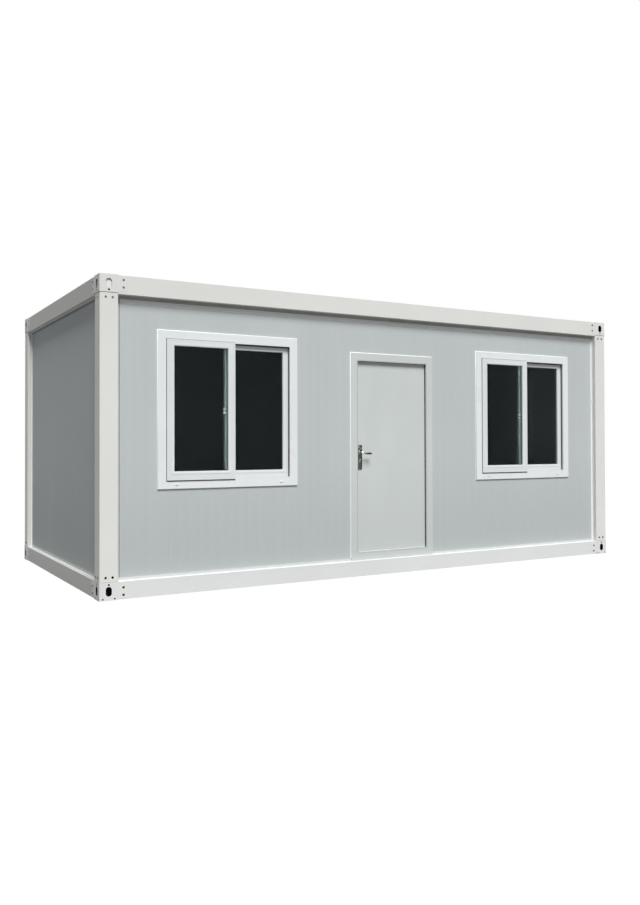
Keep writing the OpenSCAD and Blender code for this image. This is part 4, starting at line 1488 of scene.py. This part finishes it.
@dataclass
class Handle(Assembly):
    """Rims, screws, ornament, key cylinder and levers of the door handle.

    Each face's own axes start where the lever turns: X runs along the lever,
    Y into the leaf and Z up.
    """

    axis: Vector
    plate_w: float = 0.058
    plate_h: float = 0.237
    plate_top: float = 0.071
    plate_t: float = 0.006
    corner: float = 0.008
    rim_w: float = 0.004
    rim_h: float = 0.0016
    scroll_r: float = 0.0021
    scroll_steps: int = 26
    scroll_close: float = 0.82
    scroll_taper: float = 0.45
    flute_r: float = 0.0026
    neck_r: float = 0.009
    neck_l: float = 0.045
    neck_taper: float = 0.0008
    arm_drop: float = 0.012
    arm_l: float = 0.110
    elbow_r: float = 0.014
    elbow_steps: int = 6
    sag_start: float = 0.6
    sag_stop: float = 0.012
    shank_r: float = 0.0052
    shank_lift: float = 0.0018
    shank_flare: float = 0.0016
    under_shade_r: float = 0.0036
    under_shade_start: float = 0.016
    spindle_r: float = 0.004
    grip_start: float = 0.050
    grip_lap: float = 0.006
    grip_r: float = 0.0092
    key_share: float = 0.4
    key_r: float = 0.0068
    key_bar: Point = (0.0046, 0.012, 0.0044)
    screw_in: float = 0.011
    round_sides: int = 28

    @property
    def plate_foot(self) -> float:
        """Gives the height of the plate's lower end."""
        return self.plate_top - self.plate_h

    @property
    def key_z(self) -> float:
        """Gives the height of the key cylinder."""
        return self.plate_foot + self.plate_h * self.key_share

    @property
    def arm_y(self) -> float:
        """Gives how far the lever stands off the leaf."""
        return -self.plate_t - self.neck_l

    @property
    def shank_end(self) -> float:
        """Gives how far the shank reaches into the grip."""
        return self.grip_start + self.grip_lap

    def rim(self, place: Matrix) -> None:
        """Adds the raised rim round one plate.

        Args:
            place: the plate's place.
        """
        w, half = self.rim_w, self.plate_w / 2
        outer = rounded((-half, self.plate_foot), (half, self.plate_top), self.corner)
        inner = rounded(
            (-half + w, self.plate_foot + w), (half - w, self.plate_top - w), self.corner - w
        )
        middle = [((a + c) / 2, (b + d) / 2) for (a, b), (c, d) in zip(outer, inner)]
        foot, top = 0.0006 - self.plate_t, -self.plate_t - self.rim_h
        rings = ((outer, foot), (middle, top), (inner, foot))
        rings = [[(x, y, z) for x, z in outline] for outline, y in rings]
        self.shapes["handle_plate_rims"].loft(rings, place, closed=True)

    def scroll(self, place: Matrix, centre: Flat, turns: float, size: float) -> None:
        """Adds one tapering scroll of the ornament on a plate.

        Args:
            place: the plate's place.
            centre: the middle of the scroll, as X and Z.
            turns: how far it winds; below 0, the other way.
            size: its outer radius.
        """
        path, radii = [], []
        for i in range(self.scroll_steps + 1):
            share = i / self.scroll_steps
            a = 2 * math.pi * turns * share + math.pi / 2
            r = size * (1.0 - self.scroll_close * share)
            x, z = centre[0] + r * math.cos(a), centre[1] + r * math.sin(a)
            path.append(Vector((x, -self.plate_t - 0.0004, z)))
            radii.append(self.scroll_r * (1.0 - self.scroll_taper * share))
        self.shapes["handle_plate_scrolls"].tube(path, radii, 8, place)

    def ornament(self, place: Matrix) -> None:
        """Adds one plate's scrolls, the neck's ring, and the flute down its lower half.

        Args:
            place: the plate's place.
        """
        self.scroll(place, (-0.009, 0.051), 1.2, 0.011)
        self.scroll(place, (0.010, 0.036), -1.1, 0.009)
        self.scroll(place, (-0.008, 0.022), -1.0, 0.008)
        r, face = self.neck_r, -self.plate_t
        ring = [
            (r + 0.0006, face + 0.0008), (r + 0.0006, face - 0.003), (r + 0.002, face - 0.0042),
            (r + 0.004, face - 0.0036), (r + 0.0065, face + 0.0008),
        ]
        self.shapes["handle_plate_scrolls"].turned_ring(ring, self.round_sides, place)
        radii = [self.flute_r + less for less in (-0.0018, -0.0004, 0.0, -0.0004, -0.0018)]
        spans = ((self.plate_foot + 0.022, self.key_z - 0.034), (self.key_z + 0.016, -0.024))
        for low, high in spans:
            heights = (low + (high - low) * share for share in (0, 0.08, 0.5, 0.92, 1))
            path = [Vector((0.0, face, z)) for z in heights]
            self.shapes["handle_plate_flutes"].tube(path, radii, 10, place)

    def cylinder(self, place: Matrix) -> None:
        """Adds the key cylinder's bright core and its dark slot to one plate.

        Args:
            place: the plate's place.
        """
        bright, r, face = self.shapes["key_cylinders"], self.key_r, -self.plate_t - 0.004
        profile = [
            (0.0, face - 0.0006), (0.55 * r, face - 0.0006), (0.6 * r, face - 0.0016),
            (r, face - 0.0010), (r, face + 0.0004), (0.0, face + 0.0004),
        ]
        spot = place @ Matrix.Translation((0, 0, self.key_z))
        bright.turned(profile, self.round_sides, spot)
        w, h, corner = self.key_bar
        bar = rounded(*about((0.0, -0.016), (w, h)), corner)
        bright.prism(bar, -self.plate_t - 0.0022, -self.plate_t + 0.0004, spot)
        low, high = (-0.0009, face - 0.0009, -0.0035), (0.0009, face - 0.0002, 0.0035)
        self.shapes["key_slots"].box(low, high, spot)

    def screws(self, place: Matrix) -> None:
        """Adds the two fixing screws of one plate.

        Args:
            place: the plate's place.
        """
        face = -self.plate_t
        profile = [
            (0.0, face - 0.0004), (0.0012, face - 0.0005), (0.0018, face - 0.0012),
            (0.0036, face - 0.0008), (0.0038, face + 0.0004), (0.0, face + 0.0004),
        ]
        for z in (self.plate_top - self.screw_in, self.plate_foot + self.screw_in):
            spot = place @ Matrix.Translation((0, 0, z))
            self.shapes["key_cylinders"].turned(profile, 14, spot)

    def sag(self, x: float) -> float:
        """Gives the height of the lever's middle line at a place along it."""
        start, end = self.sag_start * self.elbow_r, self.shank_end - self.sag_stop
        share = min(1.0, max(0.0, (x - start) / (end - start)))
        return -self.arm_drop * share * share * (3 - 2 * share)

    def neck(self, place: Matrix) -> None:
        """Adds one lever's bright neck and elbow.

        Args:
            place: the plate's place.
        """
        e, r, face = self.elbow_r, self.neck_r, -self.plate_t
        depths = (-0.0004, face - 0.004, face - 0.010, self.arm_y + e)
        path = [Vector((0, y, 0)) for y in depths]
        radii = [r - 0.0002, r - 0.0002, r - 0.0009, r - 0.0012]
        for i in range(1, self.elbow_steps + 1):
            share = i / self.elbow_steps
            x, y = (e - e * turn(math.pi / 2 * share) for turn in (math.cos, math.sin))
            path.append(Vector((x, self.arm_y + y, self.sag(x))))
            radii.append(radii[3] - self.neck_taper * share)
        self.shapes["lever_necks"].tube(path, radii, self.round_sides, place)

    def shank(self, place: Matrix) -> None:
        """Adds one lever's tapering shank and the dark strip along its underside, which paints the
        shade there.

        Args:
            place: the plate's place.
        """
        start = self.elbow_r - 0.002
        path, radii = [], []
        for i in range(10):
            share = i / 9
            x = start + (self.shank_end - start) * share
            z = self.sag(x) + self.shank_lift * min(1.0, 2 * share)
            path.append(Vector((x, self.arm_y, z)))
            radii.append(self.shank_r + self.shank_flare * (1 - share) ** 2)
        self.shapes["lever_shanks"].tube(path, radii, 24, place)
        # Painted shade: a dark strip along the shank's underside.
        sizes = (0.3, 0.75, 0.95, 1.0, 1.0, 1.0, 0.97, 0.95, 0.9)
        reach = self.grip_start + 0.004 - self.under_shade_start
        under = self.shank_r - self.shank_lift + 0.0006
        path = []
        for i in range(len(sizes)):
            x = self.under_shade_start + reach * i / (len(sizes) - 1)
            path.append(Vector((x, self.arm_y, self.sag(x) - under)))
        radii = [self.under_shade_r * size for size in sizes]
        self.shapes["lever_under_shades"].tube(path, radii, 16, place)

    def grip(self, place: Matrix) -> None:
        """Adds the dark swelling grip on the outer half of one lever.

        Args:
            place: the plate's place.
        """
        reach = self.arm_l + 0.001 - self.grip_start
        shares = (0.0, 0.02, 0.06, 0.2, 0.45, 0.75, 0.92, 0.98, 1.0)
        sizes = (0.70, 0.84, 0.9, 0.96, 1.0, 1.0, 0.95, 0.82, 0.6)
        path = [Vector((self.grip_start + reach * s, self.arm_y, -self.arm_drop)) for s in shares]
        radii = [self.grip_r * size for size in sizes]
        self.shapes["lever_grips"].tube(path, radii, self.round_sides, place)

    def build(self) -> None:
        """Builds the details of both handles."""
        low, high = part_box("door_leaf")
        outer = Matrix.Translation((self.axis.x, low.y, self.axis.z))
        depth = high.y - low.y
        inner = outer @ Matrix.Translation((0, depth, 0)) @ Matrix.Scale(-1, 4, (0, 1, 0))
        for place in (outer, inner):
            for add in (
                self.rim, self.ornament, self.cylinder, self.screws,
                self.grip, self.neck, self.shank,
            ):
                add(place)
        r, end = self.spindle_r, 0.003
        spindle = [(0.0, -end), (r, -end), (r, depth + end), (0.0, depth + end)]
        self.shapes["lever_necks"].turned(spindle, 20, outer)
        on_leaf = {
            "handle_plate_rims": RIM_METAL,
            "handle_plate_scrolls": SCROLL_METAL,
            "handle_plate_flutes": FLUTE_METAL,
            "key_cylinders": KEY_METAL,
            "key_slots": SEAL,
        }
        self.make("handle_metal", on_leaf, body="door")
        on_lever = {
            "lever_grips": GRIP_METAL,
            "lever_under_shades": GRIP_METAL,
            "lever_shanks": SHANK_METAL,
        }
        self.make("handle_metal", on_lever, body="lever")
        (necks,) = self.make("handle_metal", {"lever_necks": LEVER_METAL}, body="lever")
        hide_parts("door_lever")


@dataclass
class Roof(Assembly):
    """Caps over the standing seams, and the screws of the roof sheet."""

    seam_count: int = 12
    seam_h: float = 0.020
    sheet_t: float = 0.0012
    cap_w: float = 0.022
    cap_t: float = 0.0015
    cap_drop: float = 0.006
    cap_end: float = 0.001
    washer_r: float = 0.007
    head_r: float = 0.0045
    screw_in: float = 0.035
    screw_sides: int = 12
    screws_a_bay: int = 3

    def caps(self, low: Vector, high: Vector) -> None:
        """Adds a cap over each half of each seam, as it slopes from the ridge.

        Args:
            low: the lower corner of the roof sheet.
            high: its upper corner.
        """
        w, t, d = self.cap_w / 2, self.cap_t, self.cap_drop
        section = [
            (-w, -d), (-w, t), (w, t), (w, -d),
            (w - t, -d), (w - t, SKIN), (t - w, SKIN), (t - w, -d),
        ]
        pitch = (high.x - low.x) / self.seam_count
        eaves = low.z + self.seam_h
        for i in range(self.seam_count):
            x = low.x + (i + 0.5) * pitch
            for way in (-1, 1):
                ends = ((0.0, high.z), (way * (high.y - self.cap_end), eaves))
                rings = [[(x + a, y, z + b) for a, b in section] for y, z in ends]
                self.shapes["roof_seam_caps"].loft(rings)

    def screws(self, low: Vector, high: Vector) -> None:
        """Adds the rows of sheet screws between the seams.

        Args:
            low: the lower corner of the roof sheet.
            high: its upper corner.
        """
        reach, r, h = high.y, self.washer_r, self.head_r
        pitch = (high.x - low.x) / self.seam_count
        slope = (high.z - low.z - self.seam_h) / reach
        profile = [
            (0.0, -0.0052), (0.8 * h, -0.0052), (h, -0.0045), (h, -0.0016),
            (r, -0.001), (r, 0.0004), (0.0, 0.0004),
        ]
        stand = Matrix.Rotation(math.radians(-90), 4, "X")
        rows = (self.screw_in - reach, -reach / 2, reach / 2, reach - self.screw_in)
        for i in range(self.seam_count - 1):
            for k in range(self.screws_a_bay):
                x = low.x + (i + 0.5 + (k + 1) / (self.screws_a_bay + 1)) * pitch
                for y in rows:
                    z = low.z + (reach - abs(y)) * slope + self.sheet_t
                    spot = Matrix.Translation((x, y, z)) @ stand
                    self.shapes["roof_screws"].turned(profile, self.screw_sides, spot)

    def build(self) -> None:
        """Builds the caps and the screws."""
        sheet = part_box("roof_sheet")
        self.caps(*sheet)
        self.screws(*sheet)
        self.make("roof_steel", {"roof_seam_caps": ROOF_PAINT, "roof_screws": SCREW_ZINC})


@dataclass
class Room(Assembly):
    """Skirting, cornice and ceiling strips inside the room."""

    size: Vector
    post: Vector
    wall_in: float
    door: Flat
    skirting_h: float = 0.055
    skirting_t: float = 0.009
    cove: float = 0.022
    strip_w: float = 0.03
    strip_t: float = 0.0025
    strip_step: float = 1.15
    strip_round: float = 0.0008
    wall_gap: float = 0.0012
    end_gap: float = 0.001
    lip: float = 0.002

    def band(self, side: Side, low: float, high: float, section: Sequence[Flat]) -> None:
        """Adds a moulding along a wall.

        Args:
            side: the wall's side.
            low: the moulding's left end.
            high: its right end.
            section: its section as Y and Z.
        """
        rings = [[(x, y, z) for y, z in section] for x in (low, high)]
        self.shapes["room_skirting"].loft(rings, side.place(self.size))

    def mouldings(self) -> None:
        """Adds the skirting, which stops at the door, and the cornice over all walls."""
        floor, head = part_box("floor_covering")[1].z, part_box("top_beam_front")[0].z
        y, t, c, lip = self.wall_in + self.wall_gap, self.skirting_t, self.cove, self.lip
        top = floor + self.skirting_h
        skirting = [(y, floor), (y + t, floor), (y + t, top - 0.006), (y + lip, top), (y, top)]
        cornice = [
            (y, head - c), (y + lip, head - c), (y + c, head - lip), (y + c, head), (y, head),
        ]
        for side in Side:
            half = side.half(self.size, self.post) - self.end_gap
            spans = [(-half, half)]
            if side is Side.FRONT:
                spans = [(-half, self.door[0]), (self.door[1], half)]
            for low, high in spans:
                self.band(side, low, high, skirting)
            self.band(side, -half, half, cornice)

    def ceiling_strips(self) -> None:
        """Adds the strips over the joints of the ceiling."""
        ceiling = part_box("ceiling_panel")[0].z
        inner_x, inner_y = (measure / 2 - self.wall_in for measure in self.size.xy)
        count = int(2 * inner_x / self.strip_step)
        w, reach = self.strip_w / 2, inner_y - self.cove
        for i in range(1, count + 1):
            x = 2 * inner_x * i / (count + 1) - inner_x
            low, high = (x - w, -reach, ceiling - self.strip_t), (x + w, reach, ceiling + 0.0003)
            self.shapes["ceiling_strips"].box(low, high)

    def build(self) -> None:
        """Builds the trims of the room."""
        self.mouldings()
        self.ceiling_strips()
        self.make("trim_white", {"room_skirting": TRIM_PAINT})
        self.make("panel_white", {"ceiling_strips": TRIM_PAINT}, bevel=self.strip_round)


# ---------------------------------------------------------------- studio


def towards(yaw: float, rise: float) -> Vector:
    """Gives a direction: yaw turns from +Y towards +X, and rise goes up from level."""
    flat = math.cos(rise)
    return Vector((math.sin(yaw) * flat, math.cos(yaw) * flat, math.sin(rise)))


@dataclass
class Studio:
    """The camera, the floor and the lights."""

    eye: Point = (-4.9364, -8.3109, 1.28735)
    yaw: float = 0.518058
    pitch: float = 0.0142047
    roll: float = 0.0026354
    lens: float = 33.356
    film: float = 36.0
    shift: Flat = (0.0161, -0.02266)
    sky: float = 0.1
    sky_colour: Colour = (0.97, 0.985, 1.0)
    sun: float = 4.75
    sun_side: float = math.radians(-170)
    sun_height: float = math.radians(58.5)
    sun_size: float = 0.43
    sun_far: float = 20.0
    ground: float = 0.23
    ground_rough: float = 0.9
    ground_shine: float = 0.1
    ground_far: float = 60.0
    ground_drop: float = 0.001
    glow: float = 1.13
    glow_share: float = 0.86

    def link(self, name: str, data: bpy.types.ID) -> bpy.types.Object:
        """Puts a camera, a lamp or a mesh into the scene.

        Args:
            name: the object's name.
            data: the camera, lamp or mesh.

        Returns:
            The new object.
        """
        made = bpy.data.objects.new(name, data)
        bpy.context.scene.collection.objects.link(made)
        return made

    def camera(self) -> None:
        """Sets up the camera."""
        data = bpy.data.cameras.new("camera")
        data.sensor_width = self.film
        data.lens = self.lens
        data.shift_x, data.shift_y = self.shift
        camera = self.link("camera", data)
        bpy.context.scene.camera = camera
        right = Vector((math.cos(self.yaw), -math.sin(self.yaw), 0.0))
        ahead = towards(self.yaw, self.pitch)
        down = ahead.cross(right)
        c, s = math.cos(self.roll), math.sin(self.roll)
        right, down = c * right + s * down, c * down - s * right
        turn = Matrix((right, -down, -ahead)).transposed().to_4x4()
        camera.matrix_world = Matrix.Translation(self.eye) @ turn

    def seen_rays(self, graph: Graph) -> Socket:
        """Gives 1 where the camera looks, also by a mirror or through glass.

        Args:
            graph: the material or the sky being made.

        Returns:
            The value for each ray.
        """
        rays = graph.node("ShaderNodeLightPath").outputs
        total: Socket = rays["Is Camera Ray"]
        for name in ("Is Glossy Ray", "Is Transmission Ray"):
            most = graph.node("ShaderNodeMath", {0: total, 1: rays[name]}, operation="MAXIMUM")
            total = most.outputs["Value"]
        return total

    def world(self) -> None:
        """Sets up an even pale sky, white where the camera looks."""
        world = bpy.data.worlds.new("studio")
        bpy.context.scene.world = world
        graph = Graph(world)
        graph.tree.nodes.clear()
        kind = "ShaderNodeBackground"
        soft = graph.node(kind, {"Color": (*self.sky_colour, 1.0), "Strength": self.sky})
        white = graph.node(kind, {"Color": (1.0, 1.0, 1.0, 1.0)})
        inputs = {"Fac": self.seen_rays(graph), 1: soft.outputs[0], 2: white.outputs[0]}
        mix = graph.node("ShaderNodeMixShader", inputs)
        graph.node("ShaderNodeOutputWorld", {"Surface": mix.outputs["Shader"]})

    def floor(self) -> None:
        """Makes the pale floor, which keeps a faint shadow."""
        mesh, far, z = bpy.data.meshes.new("floor"), self.ground_far, -self.ground_drop
        corners = [(-far, -far, z), (far, -far, z), (far, far, z), (-far, far, z)]
        mesh.from_pydata(corners, [], [(0, 1, 2, 3)])
        floor = self.link("floor", mesh)
        material = bpy.data.materials.new("studio_floor")
        graph = Graph(material)
        graph.set(
            Base_Color=(self.ground, self.ground, self.ground, 1.0),
            Roughness=self.ground_rough,
            Specular_IOR_Level=self.ground_shine,
        )
        glow = graph.node("ShaderNodeEmission", {"Strength": self.glow})
        inputs = {0: self.seen_rays(graph), 1: self.glow_share}
        share = graph.node("ShaderNodeMath", inputs, operation="MULTIPLY")
        plain = graph.shader.outputs["BSDF"]
        inputs = {"Fac": share.outputs["Value"], 1: plain, 2: glow.outputs[0]}
        mix = graph.node("ShaderNodeMixShader", inputs)
        graph.feed(graph.tree.nodes["Material Output"].inputs["Surface"], mix.outputs["Shader"])
        mesh.materials.append(material)
        floor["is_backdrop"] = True

    def key(self) -> None:
        """Adds the one broad soft lamp, high in front of the house."""
        data = bpy.data.lights.new("key_lamp", "SUN")
        data.energy = self.sun
        data.angle = self.sun_size
        lamp = self.link("key_lamp", data)
        away = towards(self.sun_side, self.sun_height)
        lamp.location = away * self.sun_far
        lamp.rotation_mode = "QUATERNION"
        lamp.rotation_quaternion = (-away).to_track_quat("-Z", "Y")

    def build(self) -> None:
        """Sets up the whole studio."""
        self.camera()
        self.world()
        self.floor()
        self.key()
        bpy.context.scene.view_settings.view_transform = "Standard"


# ---------------------------------------------------------------- main


def dress_nodes(nodes: dict[str, bpy.types.Object]) -> None:
    """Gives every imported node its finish.

    Args:
        nodes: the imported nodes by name.
    """
    for name, node in nodes.items():
        fitting = (finish for part, finish in NODE_FINISHES.items() if part in name)
        finish = next(fitting, TRIM_PAINT)
        if not node.material_slots:
            node.data.materials.append(finish.material())
        for slot in node.material_slots:
            slot.material = finish.material()
        LOG.info("%s: %s", name, finish.name)


@dataclass
class Walls:
    """The rolled faces of all walls, outside and inside."""

    size: Vector
    post: Vector
    trim_w: float = 0.0255
    frame_lap: float = 0.020
    edge_gap: float = 0.001
    panel_w: float = 0.95
    long_joints: tuple[float, int] = (-2.38, 6)
    end_joints: tuple[float, int] = (-1.425, 3)

    def holes(self, inside: bool) -> list[Hole]:
        """Gives the holes that the windows and the door leave in the front's face.

        Args:
            inside: whether it is the face in the room.

        Returns:
            The left, right, lower and upper edge of each hole.
        """
        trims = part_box("window_inner_trims")
        reach = (trims[1].z - trims[0].z) / 2
        found = []
        for name in ("window_left_frame", "window_right_frame"):
            low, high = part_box(name)
            x, z = (low.x + high.x) / 2, (low.z + high.z) / 2
            within = (x - reach, x + reach, z - reach, z + reach)
            found.append(within if inside else (low.x, high.x, low.z, high.z))
        low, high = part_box("door_frame")
        lap = self.frame_lap if inside else 0.0
        return [*found, (low.x + lap, high.x - lap, low.z, high.z - lap)]

    def build(self) -> None:
        """Builds the faces of every side."""
        wall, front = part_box("back_wall"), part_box("front_wall_left")
        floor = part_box("floor_covering")[1].z
        outside = (wall[0].z + self.trim_w, wall[1].z - self.trim_w)
        inside = (floor + self.edge_gap, wall[1].z - self.edge_gap)
        for side in Side:
            half = side.half(self.size, self.post)
            first, count = self.long_joints if side.long else self.end_joints
            joints = tuple(first + self.panel_w * i for i in range(count))
            faces = (
                (False, self.trim_w, outside, front[0].y), (True, self.edge_gap, inside, front[1].y)
            )
            for inner, gap, height, y in faces:
                holes = tuple(self.holes(inner)) if side is Side.FRONT else ()
                bay, depth = (gap - half, half - gap), y + self.size.y / 2
                WallSkin(side, self.size, bay, height, depth, joints, holes, inner).build()


def main() -> None:
    """Builds the whole scene."""
    logging.basicConfig(level=logging.INFO, format="%(message)s")
    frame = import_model()
    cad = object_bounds()
    size = cad[1] - cad[0]
    Studio().build()
    dress_nodes(frame["nodes"])

    post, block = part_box("post_front_left"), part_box("bottom_corner_blocks")
    wall, front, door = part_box("back_wall"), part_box("front_wall_left"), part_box("door_frame")
    corner = Vector((post[1].x - cad[0].x, post[1].y - cad[0].y, block[1].z - block[0].z))
    relief, depth, wall_in = (
        box.y - cad[0].y for box in (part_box("bottom_beam_front")[0], front[0], front[1])
    )
    lever = next(joint for joint in frame["joints"] if joint["child"] == "lever")
    doorway = (door[0].x + Walls.frame_lap, door[1].x - Walls.frame_lap)
    for assembly in (
        Frame(size, corner, relief),
        Walls(size, corner),
        BayStrips(size, corner, (wall[0].z, wall[1].z), depth, (door[0].x, door[1].x)),
        Window("window_left", front[0].y),
        Window("window_right", front[0].y),
        DoorSet(front[0].y),
        Handle(Vector(lever["pos_m"])),
        Roof(),
        Room(size, corner, wall_in, doorway),
    ):
        LOG.info("building %s", type(assembly).__name__)
        assembly.build()

    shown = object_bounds()
    {"cad": [list(cad[0]), list(cad[1])], "visual": [list(shown[0]), list(shown[1])]}


if __name__ == "__main__":
    main()
